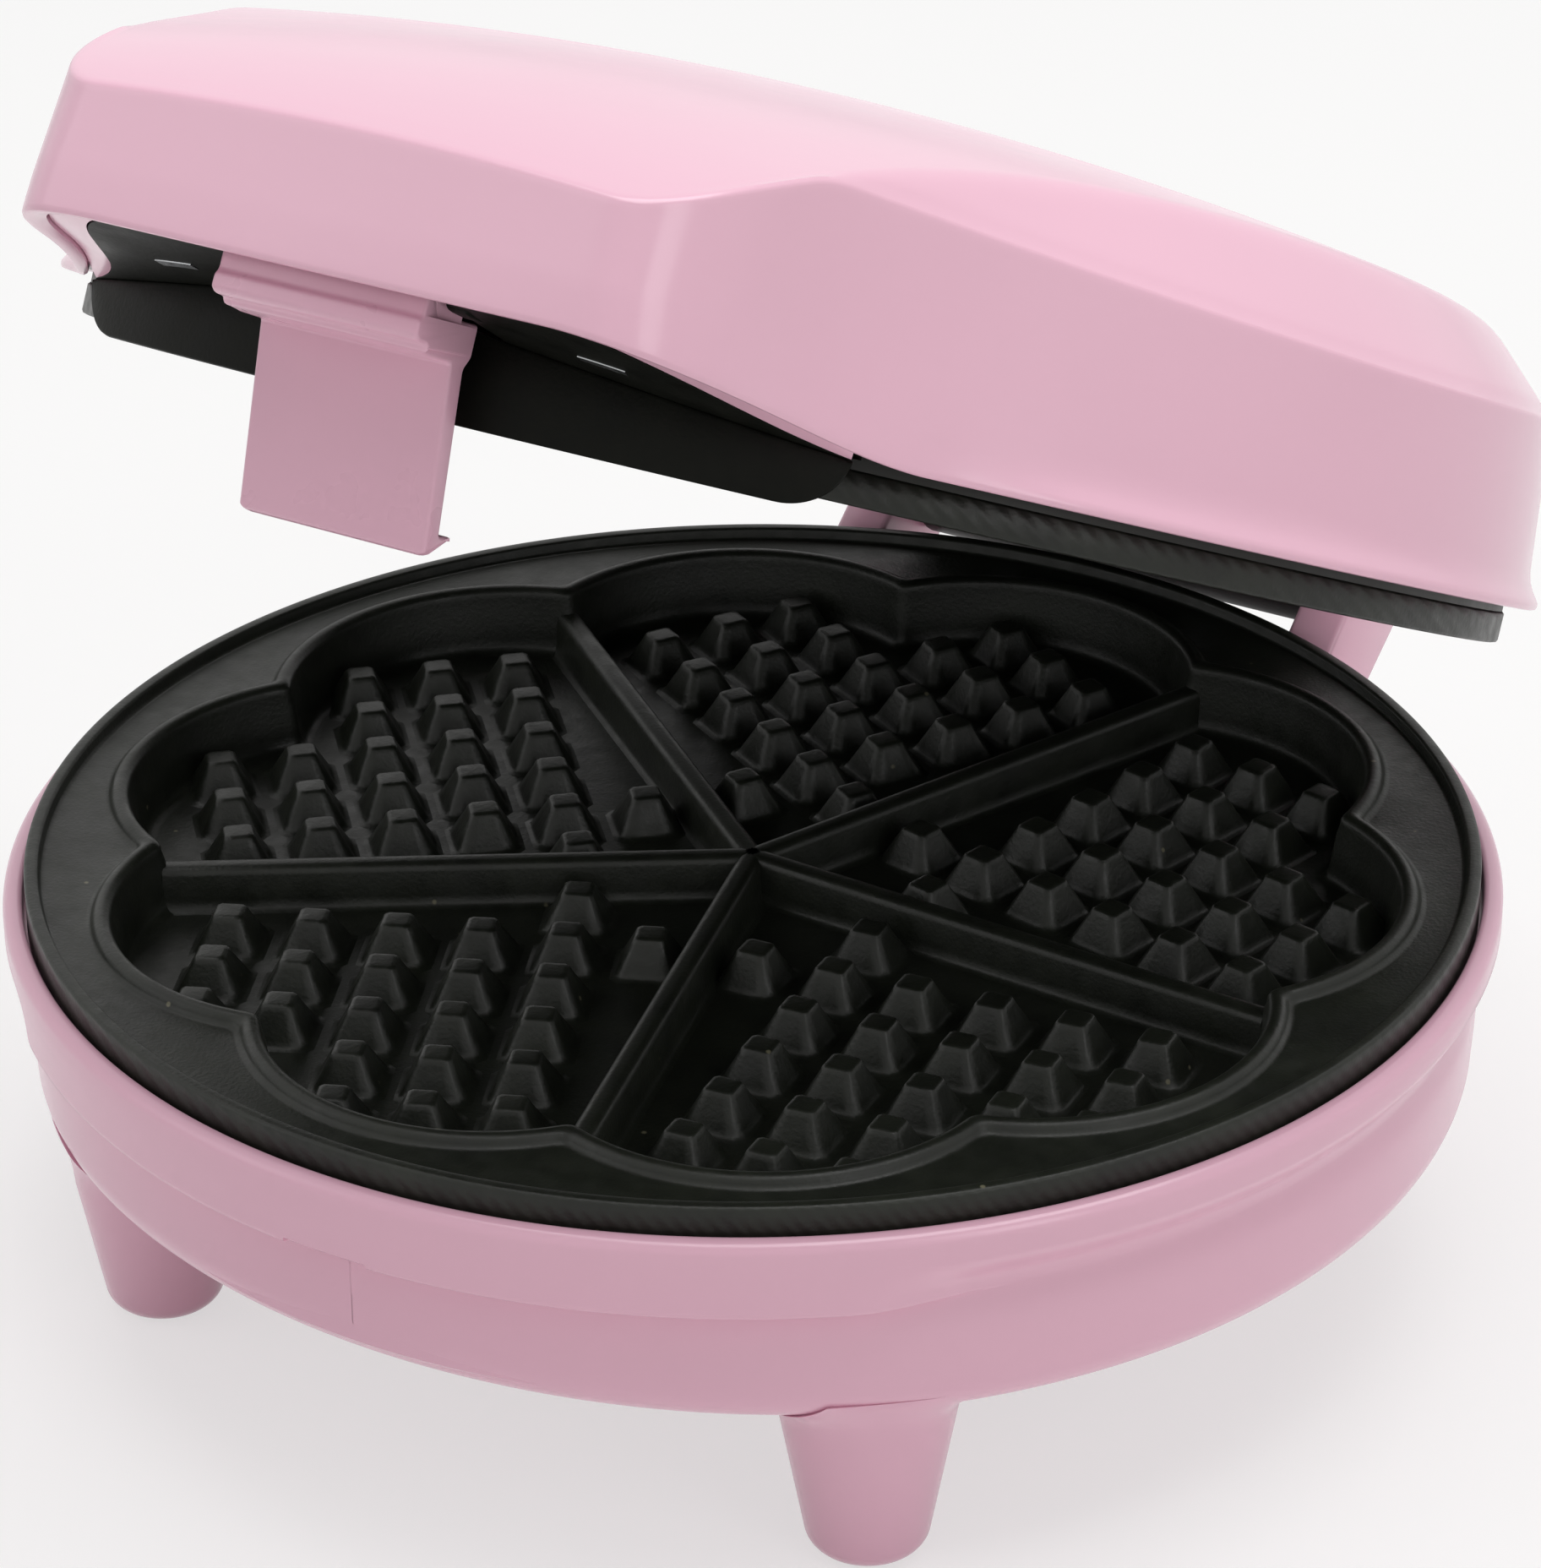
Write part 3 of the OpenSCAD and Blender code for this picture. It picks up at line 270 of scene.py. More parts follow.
wall_rows = [(lambda a: lobed(a) * 0.5, FLOOR_Z), (line(0, -4.2), FLOOR_Z)]
wall_rows += [(line(0, x), FLOOR_Z + z) for x, z in FLOOR_EDGE]
bead_rows = [(line(0, -0.55), RING_Z - 1.6), (line(0, -0.1), RING_Z)]
for t in np.radians((18, 38, 58, 75, 90, 105, 122, 142, 160)):
    bead_rows.append((line(1.2 - BEAD_HALF * math.cos(t)), RING_Z + BEAD_H * math.sin(t) ** 0.8))
bead_rows += [(line(2.75), RING_Z + 0.1), (line(3.4), RING_Z)]
rim_rows = [(lambda a: 0.5 * (lobed(a, 3.4) + STEP_R), RING_Z), (STEP_R, RING_Z)]
rim_rows += [(STEP_R + 0.35, RING_Z + 0.1), (STEP_R + 0.6, RING_Z + 0.45)]
rim_rows += [(RIM_R - 0.45, -0.45), (RIM_R - 0.3, -0.12), (RIM_R, 0)]
rim_rows += [(PLATE_R - 0.5, 0), (PLATE_R - 0.15, -0.12), (PLATE_R, -0.45)]
side_rows = [(PLATE_R, -1.5), (PLATE_R, -3.2), (PLATE_R, SIDE_LOW), (PLATE_R - 0.3, SIDE_LOW - 0.4)]
side_rows += [(PAN_R + 0.4, SIDE_LOW - 0.4), (PAN_R, SIDE_LOW - 0.8)]
side_rows += [(PAN_R, PLATE_LOW + 0.5), (PAN_R - 0.6, PLATE_LOW)]
print("lower plate:", len(wall_rows + bead_rows + rim_rows + side_rows), "rows")


# %% A stud and a divider
def stud(x, y, turn, floor, up, foot=4.0, top=2.0, height=5.0):
    """A square pyramid with its top cut off, as rings of rounded squares. A ring is a square, each
    point held back from the corners by their radius and then pushed out by at most that radius."""
    rings = [(foot + 1.3, 1.6, -0.06), (foot + 0.5, 1.2, 0.1), (foot + 0.12, 0.9, 0.45),
             (foot - 0.15, 0.7, 1.0), (top + 0.25, 0.5, height - 0.9), (top + 0.02, 0.5, height - 0.3),
             (top - 0.25, 0.45, height - 0.05), (top - 0.7, 0.3, height)]
    a = np.radians(np.arange(0, 360, 15) + 7.5)
    grid = []
    for half, corner, z in rings:
        cx, cy = np.cos(a), np.sin(a)
        m = np.maximum(np.abs(cx), np.abs(cy))
        sq = np.stack([cx / m, cy / m], -1) * half
        keep = np.clip(sq, -(half - corner), half - corner)
        d = sq - keep
        n = np.linalg.norm(d, axis=-1, keepdims=True)
        sq = keep + d / np.maximum(n, 1e-6) * np.minimum(n, corner)
        grid.append(np.stack([sq[:, 0], sq[:, 1], np.full(len(a), z)], -1))
    gx, gy, gz = np.moveaxis(np.array(grid), -1, 0)
    c, s = math.cos(turn), math.sin(turn)
    grid = np.stack([x + gx * c - gy * s, y + gx * s + gy * c, floor + up * gz], -1)
    return shell(grid, (x, y, floor - up * 0.06), (x, y, floor + up * height))


def divider(angle, floor, up, length=77.4, half=1.8, height=6.0):
    """A low wall along a ray: its cross-section, with a soft foot and a round top, carried outward."""
    side = [(half + 1.6, -0.06), (half + 0.8, 0.12), (half + 0.4, 0.6), (half + 0.15, 1.6),
            (half - 0.1, height - 1.1), (half - 0.35, height - 0.45), (half - 0.8, height - 0.08),
            (half - 1.4, height)]
    cross = np.array(side + [(-w, z) for w, z in side[::-1]])
    along, across = np.meshgrid([-1.0, 4, 20, 40, 60, length], cross[:, 0], indexing="ij")
    high = np.broadcast_to(floor + up * cross[:, 1], along.shape)
    c, s = math.cos(angle), math.sin(angle)
    grid = np.stack([along * c - across * s, along * s + across * c, high], -1)
    return shell(grid, grid[0].mean(0), grid[-1].mean(0))


print("a stud has", len(stud(0, 0, 0, 0, 1)[0]), "points and a divider", len(divider(0, 0, 1)[0]))


# %% Where the studs stand, and the lower plate in one piece
def stud_places():
    """Places of the studs: a square grid at 45 degrees to each heart's middle line, kept inside it."""
    pitch, first, wall, half, hub = 11.0, 46.0, 3.6, 8.0, 16.0
    lobe, wall_turn = math.radians(LOBE_TURN / 2), math.radians(180 / HEARTS)
    i, j = np.meshgrid(np.arange(-4, 5), np.arange(-4, 5), indexing="ij")
    u = (first + (i - j) * pitch * math.sqrt(0.5)).ravel()
    v = ((i + j) * pitch * math.sqrt(0.5)).ravel()
    lobe_gap = np.hypot(u - LOBE_PLACE * math.cos(lobe), np.abs(v) - LOBE_PLACE * math.sin(lobe))
    wall_gap = u * math.sin(wall_turn) - np.abs(v) * math.cos(wall_turn)
    in_lobes = (lobe_gap < LOBE_R - half * 0.66) | (np.hypot(u, v) < LOBE_PLACE - 6)
    ok = (wall_gap > wall / 2 + half * 0.62) & in_lobes & (np.hypot(u, v) > hub)
    return u[ok], v[ok]


def moulds(floor, up):
    """All the studs and dividers of one plate."""
    u, v = stud_places()
    print(len(u), "studs in each heart")
    parts = []
    for k in range(HEARTS):
        a = math.radians(HEART_TURN + 180 / HEARTS + 360 / HEARTS * k)
        c, s = math.cos(a), math.sin(a)
        parts += [stud(x * c - y * s, x * s + y * c, a + math.pi / 4, floor, up) for x, y in zip(u, v)]
        parts.append(divider(math.radians(HEART_TURN + 360 / HEARTS * k), floor, up))
    return parts


RAYS = 900

rows = ray_rows(wall_rows + bead_rows + rim_rows + side_rows, RAYS)
lower = shell(rows, (0, 0, FLOOR_Z), (0, 0, PLATE_LOW))
lower_plate = piece("baking_plate_lower", join([lower] + moulds(FLOOR_Z, 1)), "base", "coated_aluminium",
                    ["lower_plate"], sharp=50)

# %% The upper plate: the same moulds looking down, and a groove over the lower plate's bead
GROOVE = [(0.1, 1.6), (0.6, 1.4), (2.2, 1.4), (2.8, 1.25), (3.05, 0.9), (3.15, 0.3), (3.4, 0.05), (3.8, 0)]
FLANGE_TOP, PLATE_TOP = 4.0, 10.5

upper_floor = MOULD_DEPTH
up_rows = [(lambda a: lobed(a) * 0.5, upper_floor), (line(0, -4.2), upper_floor)]
up_rows += [(line(0, x), upper_floor - z) for x, z in FLOOR_EDGE]
up_rows += [(line(0, -0.3), 2.0)] + [(line(x), z) for x, z in GROOVE]
up_rows += [(lambda a: 0.5 * (lobed(a, 3.8) + UPPER_R - 0.5), 0), (UPPER_R - 0.5, 0), (UPPER_R - 0.15, 0.1)]
up_rows += [(UPPER_R, 0.4), (UPPER_R, 1.6), (UPPER_R, FLANGE_TOP - 0.3), (UPPER_R - 0.3, FLANGE_TOP)]
up_rows += [(PAN_R + 0.4, FLANGE_TOP), (PAN_R, FLANGE_TOP + 0.4)]
up_rows += [(PAN_R, PLATE_TOP - 0.5), (PAN_R - 0.6, PLATE_TOP)]
upper = shell(ray_rows(up_rows, RAYS), (0, 0, upper_floor), (0, 0, PLATE_TOP))
upper_plate = piece("baking_plate_upper", join([upper] + moulds(upper_floor, -1)), "lid",
                    "coated_aluminium", ["upper_plate"], sharp=50)

# %% [markdown]
# ## The lid
# The lid is one pink moulding: a round body with a nose at the front that hides the latch. Seen
# from above, its edge is the larger of the body's circle and the nose's rounded trapezium, blended.
# The top is a shallow dome cut by a sloping band, so the side wall ends in a crisp line.

# %% The lid's outline
NOSE_X, NOSE_Y, FLANK_SLOPE = 44.6, 118.9, 0.197
NOSE_CORNER, FLANK_BLEND = 19.4, 24.8


def off_front(s):
    """Angle from the front, whichever way round."""
    return np.abs(np.where(s > 180, s - 360, s))


def lid_outline(s, body, inset):
    """Radius at angle s from the front, in degrees: body circle, nose front / cos s, nose side as a
    line that leans outward towards the back; the smaller of front and side, then the larger of that
    and the body."""
    a = np.minimum(off_front(s), 80)
    c, n = np.cos(np.radians(a)), np.sin(np.radians(a))
    front = (NOSE_Y - inset) / c
    flank = (NOSE_X - inset + FLANK_SLOPE * NOSE_Y) / (n + FLANK_SLOPE * c)
    nose = soft_min(front, flank, NOSE_CORNER)
    return soft_max(body + 0 * s, np.where(off_front(s) >= 80, 0, nose), FLANK_BLEND)


front, rear = float(lid_outline(0.0, LID_R, 0)), float(lid_outline(180.0, LID_R, 0))
print("lid outline:", round(front, 1), "mm to the front and", round(rear, 1), "to the back")


# %% The lid's heights
CROWN_Z, CROWN_Y, CROWN_FALL, NOSE_FALL, NOSE_REACH = 48.2, -28.3, 6.0, 10.4, 32.9
LID_LIP_Z, NOSE_Z, WALL_TOP_Z, WALL_RISE = 5.0, 11.8, 28.8, 10.6
NOTCH_X, NOTCH_Z = 32.9, 16.5


def dome(x, y):
    """Height of the top: a crown that falls to the front, the back and both sides, fastest at the nose."""
    side = 0.00102 + 0.00035 * np.exp(-((y + 80) / 22) ** 2)
    nose = NOSE_FALL * np.exp(-(y + NOSE_Y - 4.5) / NOSE_REACH)
    return CROWN_Z - CROWN_FALL * ((y - CROWN_Y) / 75) ** 2 - nose - side * x * x


def edge_radius(s):
    """Radius of the line where the side wall ends."""
    return lid_outline(s, LID_TOP_R, 1.4)


def xy(s, r):
    """The point at angle s from the front and radius r."""
    return r * np.sin(np.radians(s)), -r * np.cos(np.radians(s))


def wall_top(s):
    """Height of the side wall's top line: it climbs to the nose."""
    x, y = xy(s, edge_radius(s))
    a = np.minimum(off_front(s), 90)
    return soft_min(dome(x, y), WALL_TOP_Z + WALL_RISE * (1 - np.sin(np.radians(a))), 1)


def top_height(s, r):
    """Height inside that line: the dome, or a band that climbs inward at one to one, whichever is lower."""
    d = edge_radius(s) - r
    band = wall_top(s) + 1.0 * d - 0.0017 * d * d
    return soft_min(dome(*xy(s, r)), band, 1.5)


def lip_height(s):
    """Height of the bottom edge: low round the body, higher under the nose, cut out for the hinge."""
    z = LID_LIP_Z + (NOSE_Z - LID_LIP_Z) * (1 - step(14.3, 37.2, off_front(s)))
    x, y = xy(s, LID_R)
    return np.where((np.abs(x) < NOTCH_X) & (y > 0), NOTCH_Z, z)


print("lid edge:", round(float(wall_top(0.0)), 1), "mm up at the nose,", round(float(wall_top(90.0)), 1),
      "at the sides")


# %% Rows of the lid
def lid_angles(notch):
    """Angles round the lid, closer together at the front and right at the notch's two ends."""
    t = np.linspace(0, 360, 720, endpoint=False)
    s = t - 11.5 * np.sin(np.radians(2 * t))
    ends = [180 - notch, 180 + notch]
    near = np.concatenate([e + np.array([-0.25, -0.02, 0.02, 0.25]) for e in ends])
    s = s[np.min(np.abs(s[:, None] - np.array(ends)[None]), 1) > 0.3]
    return np.sort(np.concatenate([s, near]))


S = lid_angles(math.degrees(math.asin(NOTCH_X / LID_R)))


def lid_row(r, z):
    """A row of points from a radius and a height at each of those angles."""
    x, y = xy(S, r)
    return np.stack([x, y, z + 0 * S], -1)


def lip_row(body, inset, up):
    """A row a fixed height above the lip, less flared where the nose stands out."""
    flare = step(36, 50, off_front(S))
    r = lid_outline(S, LID_R - 2 + (body - LID_R + 2) * flare, inset)
    return lid_row(r, lip_height(S) + up)


def top_row(share, t=0.0):
    """A row of the top, at a share of the edge radius, moved in by the thickness t."""
    r = (edge_radius(S) - t) * share
    return lid_row(r, top_height(S, r) - t)


def edge_row(inset, drop):
    """A row beside the line where the side wall ends."""
    return lid_row(edge_radius(S) - inset, wall_top(S) - drop)


print("a row of the lid has", len(S), "points")

# %% The lid's skin, from the inner wall round the lip and over the top
SHELL_T = 2.3
LIP_PROFILE = [  # how far in, how far in at the nose, how far up
    (1.5, 1.5, 0.0), (0.5, 0.5, 0.0), (0.15, 0.15, 0.12), (0, 0, 0.45), (0, 0, 0.9), (0.35, 0.02, 1.5),
    (0.95, 0.06, 2.3), (1.45, 0.12, 3.3), (1.8, 0.2, 4.6), (1.95, 0.3, 5.9)]
lid_out = [lip_row(LID_R - body_in, nose_in, up) for body_in, nose_in, up in LIP_PROFILE]
lo_r, lo_z, hi_z = lid_outline(S, LID_R - 1.95, 0.3), lip_height(S) + 5.9, wall_top(S) - 1.2
for f in np.linspace(0, 1, 12)[1:]:
    lid_out.append(lid_row(lo_r + (edge_radius(S) + 0.12 - lo_r) * f, lo_z + (hi_z - lo_z) * f))
lid_out += [edge_row(-0.05, 0.55), edge_row(0.05, 0.22), edge_row(0.3, -0.06), edge_row(0.8, -0.42)]
lid_out += [top_row(f) for f in np.concatenate([np.linspace(0.985, 0.62, 34), np.linspace(0.6, 0.06, 24)])]
lid_in = [top_row(f, SHELL_T) for f in (0.1, 0.3, 0.5, 0.65, 0.75, 0.82, 0.88, 0.94, 0.98, 1.0)]
lid_in += [lid_row(edge_radius(S) - SHELL_T, wall_top(S) - 4)]
lid_in += [lip_row(LID_R - 1.9 - SHELL_T, 0.3 + SHELL_T, 5.5), lip_row(LID_R - SHELL_T, SHELL_T, 0.3)]
top_z = float(dome(np.array(0.0), np.array(0.0)))
lid_skin = shell(np.array(lid_in + lid_out), (0, 0, top_z - SHELL_T), (0, 0, top_z))
piece("lid_moulding", outward(lid_skin), "lid", "pink_plastic_lid", ["lid_shell"], sharp=32)

# %% [markdown]
# ## The base
# The bowl is a turned shape: a flat bottom, a rounded edge, an upright wall, a hollow groove and a
# rolled lip. At the front the groove is filled by a collar, and under the collar the wall is set
# back so that fingers and the latch's hook can reach in. Both follow from the angle off the front.

# %% The bowl's angles, its turned wall and the set-back
CATCH_X, SCOOP_Y, SCOOP_HALF = 6.0, 92.5, 42
SCOOP_SHIFT = (BASE_R - SCOOP_Y) / (1 - math.cos(math.radians(SCOOP_HALF)) - 0.05)
SCOOP_R = SCOOP_Y + SCOOP_SHIFT
GROOVE_TOP, EDGE_TOP = -7.5, -26.0


def base_angles():
    """Angles round the base, with close pairs at the two ends of the latch's catch."""
    s = np.linspace(0, 360, 900, endpoint=False)
    e = math.degrees(math.asin(CATCH_X / LIP_R))
    ends = np.array([e, 360 - e])
    s = s[np.min(np.abs(s[:, None] - ends[None]), 1) > 0.22]
    return np.sort(np.concatenate([s] + [ends + d for d in (-0.2, -0.02, 0.02, 0.2)]))


B = base_angles()


def plain_radius(z):
    """The turned wall's radius at a height: straight lines between a few points, smoothed."""
    zs = np.array([EDGE_TOP, -21.0, -17.5, -15.5, -13.5, -11.6, -9.6, -8.4, GROOVE_TOP])
    rs = np.array([95.0, 95.3, 95.35, 94.95, 94.6, 95.1, 96.75, 97.65, LIP_R])
    t = np.linspace(EDGE_TOP, GROOVE_TOP, 75)
    window = np.hanning(11)[1:-1] / np.hanning(11).sum()
    fine = np.convolve(np.pad(np.interp(t, zs, rs), 4, mode="edge"), window, "valid")
    return np.interp(z, t, fine)


def scoop_radius(s):
    """Where a ray from the middle meets a wide circle set back: -c cos s + sqrt(R^2 - (c sin s)^2)."""
    c, n = np.cos(np.radians(s)), np.sin(np.radians(s))
    scoop = -SCOOP_SHIFT * c + np.sqrt(SCOOP_R ** 2 - (SCOOP_SHIFT * n) ** 2)
    return np.where(off_front(s) < 80, scoop, 200)


print("set-back wall:", round(float(scoop_radius(0.0)), 1), "mm from the middle at the front")


# %% Rows of the bowl, and its wall with the collar at the front
COLLAR_Z, CATCH_RISE = -13.9, 0.5


def base_row(r, z):
    """A row of points from a radius and a height at each of the bowl's angles."""
    x, y = xy(B, r)
    return np.stack([x, y, z + 0 * B], -1)


at_front = 1 - step(38, 50, off_front(B))
in_catch = (np.abs(LIP_R * np.sin(np.radians(B))) < CATCH_X) & (off_front(B) < 90)
collar_low = COLLAR_Z + CATCH_RISE * in_catch


def wall_radius(z):
    """Set-back wall below the collar."""
    return soft_min(plain_radius(z) + 0 * B, scoop_radius(B), 2.0)


def collar_radius(z):
    """Upright collar in place of the groove, at the front only."""
    flat = LIP_R - 0.4 * np.clip((GROOVE_TOP - z) / 6.7, 0, 1)
    return plain_radius(z) + (np.maximum(flat, plain_radius(z)) - plain_radius(z)) * at_front


print("collar:", round(float(at_front.mean() * 360)), "degrees wide, with", int(in_catch.sum()),
      "points in the catch")

# %% The bowl's rows, from the floor inside, over the lip and down to the bottom
LIP_Z, LIP_ROLL, LEDGE_R, LEDGE_Z = -3.4, 1.6, 95.4, -6.8
FLOOR_OUT, FLOOR_IN, INNER_R, EDGE_R = -32.0, -29.6, 92.5, 6.0

base_rows = [base_row(84, FLOOR_IN), base_row(88, FLOOR_IN), base_row(INNER_R - 1, FLOOR_IN + 0.3)]
base_rows += [base_row(INNER_R, FLOOR_IN + 1.3), base_row(INNER_R, -12), base_row(INNER_R, LEDGE_Z)]
base_rows += [base_row(LEDGE_R, LEDGE_Z), base_row(LEDGE_R, LIP_Z - 0.8)]
base_rows += [base_row(LEDGE_R + 0.1, LIP_Z - 0.35)]
base_rows += [base_row(LEDGE_R + 0.4, LIP_Z - 0.05), base_row(LEDGE_R + 0.8, LIP_Z)]
base_rows += [base_row(r, z) for r, z in arc(LIP_R - LIP_ROLL, LIP_Z - LIP_ROLL, LIP_ROLL, 88, 4, 8)]
base_rows += [base_row(LIP_R, -6.2), base_row(LIP_R, GROOVE_TOP)]
for f in np.linspace(0, 1, 11)[1:]:
    z = GROOVE_TOP + (collar_low + 0.45 - GROOVE_TOP) * f
    base_rows.append(base_row(collar_radius(z), z))
for back, drop in ((0.04, 0.22), (0.18, 0.07), (0.45, 0.0), (0.75, -0.03), (0.9, -0.06),
                   (0.97, -0.25), (1.0, -0.8)):
    z = collar_low + drop
    base_rows.append(base_row(collar_radius(z) + (wall_radius(z) - collar_radius(z)) * back, z))
for f in np.linspace(0, 1, 12)[1:]:
    z = collar_low - 0.8 + (EDGE_TOP - collar_low + 0.8) * f
    base_rows.append(base_row(wall_radius(z), z))
edge_wall = wall_radius(np.full(len(B), EDGE_TOP))
for t in np.radians(np.linspace(0, 90, 12)[1:]):
    base_rows.append(base_row(edge_wall - EDGE_R + EDGE_R * math.cos(t), EDGE_TOP - EDGE_R * math.sin(t)))
base_rows += [base_row(84, FLOOR_OUT)]
print("bowl:", len(base_rows), "rows of", len(B), "points")


# %% A flat face with holes
def fill(loops):
    """Triangles that fill the first loop of points and leave out the others."""
    return np.array(tessellate_polygon([[Vector(p) for p in loop] for loop in loops]))


def bottom_with_holes(rows, holes):
    """The bowl's surface, closed by two flat faces with holes; each hole gets a wall between them."""
    grid = np.array(rows)
    verts, quads, n = [grid.reshape(-1, 3)], [grid_faces(*grid.shape[:2])], grid.shape[0] * grid.shape[1]
    cols = grid.shape[1]
    inner, outer = [np.arange(cols)], [np.arange(n - cols, n)]
    for hole in holes:
        m = len(hole)
        walls = np.stack([np.c_[hole, np.full(m, z)] for z in (FLOOR_IN, FLOOR_OUT)])
        verts.append(walls.reshape(-1, 3))
        quads.append(n + grid_faces(2, m)[:, ::-1])
        inner.append(n + np.arange(m))
        outer.append(n + m + np.arange(m))
        n += 2 * m
    verts, tris = np.concatenate(verts), []
    for loops, up in ((inner, 1), (outer, -1)):
        index = np.concatenate(loops)
        t = index[fill([verts[loop] for loop in loops])]
        normal = np.cross(verts[t[:, 1]] - verts[t[:, 0]], verts[t[:, 2]] - verts[t[:, 0]])[:, 2] * up
        tris.append(np.where((normal < 0)[:, None], t[:, ::-1], t))
    return verts, np.concatenate(quads), np.concatenate(tris)


square = [(0, 0, 0), (3, 0, 0), (3, 3, 0), (0, 3, 0)]
hole = [(1, 1, 0), (1, 2, 0), (2, 2, 0), (2, 1, 0)]
print("a square with a square hole is filled by", len(fill([square, hole])), "triangles")

# %% The bottom, with air slots and screw holes right through it
SLOT_L, SLOT_R, SLOT_PITCH, SLOT_Y = 34.0, 1.5, 9.0, 38.0
SCREW_RING, SCREW_HOLE_R = 30, 3.4

slots = []
for x in SLOT_PITCH * np.array([-1.5, -0.5, 0.5, 1.5]):
    ends = [arc(x, SLOT_Y + SLOT_L - SLOT_R, SLOT_R, 0, 180, 10),
            arc(x, SLOT_Y + SLOT_R, SLOT_R, 180, 360, 10)]
    slots.append(np.concatenate(ends))
screw_holes = [arc(SCREW_RING * math.cos(t), SCREW_RING * math.sin(t), SCREW_HOLE_R, 0, 352.5, 47)
               for t in np.radians((90, 210, 330))]
bowl = bottom_with_holes(base_rows, slots + screw_holes)
print("bottom:", len(slots), "air slots and", len(screw_holes), "screw holes")


# %% The feet
FOOT_X, FOOT_Y, FOOT_TIP_R, FOOT_TOP_R, FOOT_LOW, FOOT_TOP = 53.7, 61.2, 7.9, 10.8, -57.0, -38.0
TIP_ROUND, FLARE_W, FLARE_H = 3.4, 3.6, 4.6


def bowl_under(r):
    """Height of the bowl's underside at a radius: flat, then the quarter circle of its edge."""
    r = np.clip(r, 0, 94.6)
    edge = EDGE_TOP - np.sqrt(np.maximum(EDGE_R ** 2 - (r - 89) ** 2, 0))
    return np.where(r < 89, FLOOR_OUT, edge)


def foot(cx, cy):
    """A tapered leg, round at its tip, that flares into the bowl on a quarter ellipse."""
    a = np.radians(np.linspace(0, 360, 96, endpoint=False))
    ca, sa = np.cos(a), np.sin(a)
    tip = arc(FOOT_TIP_R - TIP_ROUND, FOOT_LOW + TIP_ROUND, TIP_ROUND, -86, -6, 9)
    rows = [(4.2, FOOT_LOW), (4.6, FOOT_LOW)] + [tuple(p) for p in tip]
    r0, z0 = rows[-1]
    rows += [(r0 + (FOOT_TOP_R - r0) * f, z0 + (FOOT_TOP - z0) * f) for f in np.linspace(0, 1, 7)[1:]]
    grid = [np.stack([cx + r * ca, cy + r * sa, np.full(len(a), z)], -1) for r, z in rows]
    for e in np.linspace(0, 1, 9):
        r = FOOT_TOP_R + 0.25 + FLARE_W * e
        x, y = cx + r * ca, cy + r * sa
        pull = np.minimum(1, 94.4 / np.hypot(x, y))
        x, y = x * pull, y * pull
        z = bowl_under(np.hypot(x, y)) - FLARE_H * (1 - math.sqrt(1 - (1 - e) ** 2)) + 0.08 * e
        grid.append(np.stack([x, y, z], -1))
    return shell(np.array(grid), (cx, cy, FOOT_LOW), (cx, cy, FLOOR_OUT + 1))


feet = [foot(sx * FOOT_X, sy * FOOT_Y) for sx in (-1, 1) for sy in (-1, 1)]
print("feet:", len(feet), "each", round(FLOOR_OUT - FOOT_LOW, 1), "mm tall below the bottom")


# %% Bars with rounded edges, for the ears, the latch and the hinge block
def rounded(points, radius, n=6):
    """An outline with each corner replaced by a curve: (1-t)^2 a + 2t(1-t) corner + t^2 b."""
    p = np.array(points, float)
    out = []
    for k in range(len(p)):
        back, on = p[k - 1] - p[k], p[(k + 1) % len(p)] - p[k]
        cut = min(radius, 0.45 * np.linalg.norm(back), 0.45 * np.linalg.norm(on))
        a, b = p[k] + back / np.linalg.norm(back) * cut, p[k] + on / np.linalg.norm(on) * cut
        t = np.linspace(0, 1, n)[:, None]
        out.append((1 - t) ** 2 * a + 2 * t * (1 - t) * p[k] + t ** 2 * b)
    return np.concatenate(out)


def drawn_in(outline, d):
    """The outline moved inward by d along the normals of its corners."""
    t = np.roll(outline, -1, 0) - np.roll(outline, 1, 0)
    t /= np.maximum(np.linalg.norm(t, axis=1, keepdims=True), 1e-9)
    return outline + d * np.stack([-t[:, 1], t[:, 0]], -1)


def bar(outline, lo, hi, edge, axis="x"):
    """An outline carried straight from lo to hi along an axis, its end edges rounded by a quarter
    circle: at turn t the ring is edge * (1 - cos t) from the end and edge * (1 - sin t) inward. The
    outline runs anticlockwise."""
    steps = [(edge * (1 - math.cos(t)), edge * (1 - math.sin(t))) for t in np.radians((0, 30, 60, 90))]
    grid = []
    for along, inset in [(lo + d, i) for d, i in steps] + [(hi - d, i) for d, i in steps[::-1]]:
        o = drawn_in(outline, inset)
        w = np.full(len(o), along)
        grid.append(np.stack([w, o[:, 0], o[:, 1]] if axis == "x" else [o[:, 0], o[:, 1], w], -1))
    grid = np.array(grid)
    rows, cols = grid.shape[:2]
    verts, quads, start = grid.reshape(-1, 3), grid_faces(rows, cols), fill([grid[0]])
    a, b, c = verts[start[0]]
    edge_turn = np.cross(b - a, c - a)[0 if axis == "x" else 2] > 0
    start = start[:, ::-1] if edge_turn else start
    return verts, quads, np.concatenate([start, start[:, ::-1] + (rows - 1) * cols])


print("a rounded square of 4 corners becomes", len(rounded([(0, 0), (9, 0), (9, 9), (0, 9)], 1)), "points")

# %% The hinge ears, and the base in one piece
EAR_R, EAR_IN, EAR_OUT = 8.5, 33.0, 40.5
BOSS_R, BOSS_Z, BOSS_IN, BOSS_OUT = 9, -20, 90.0, 96.7

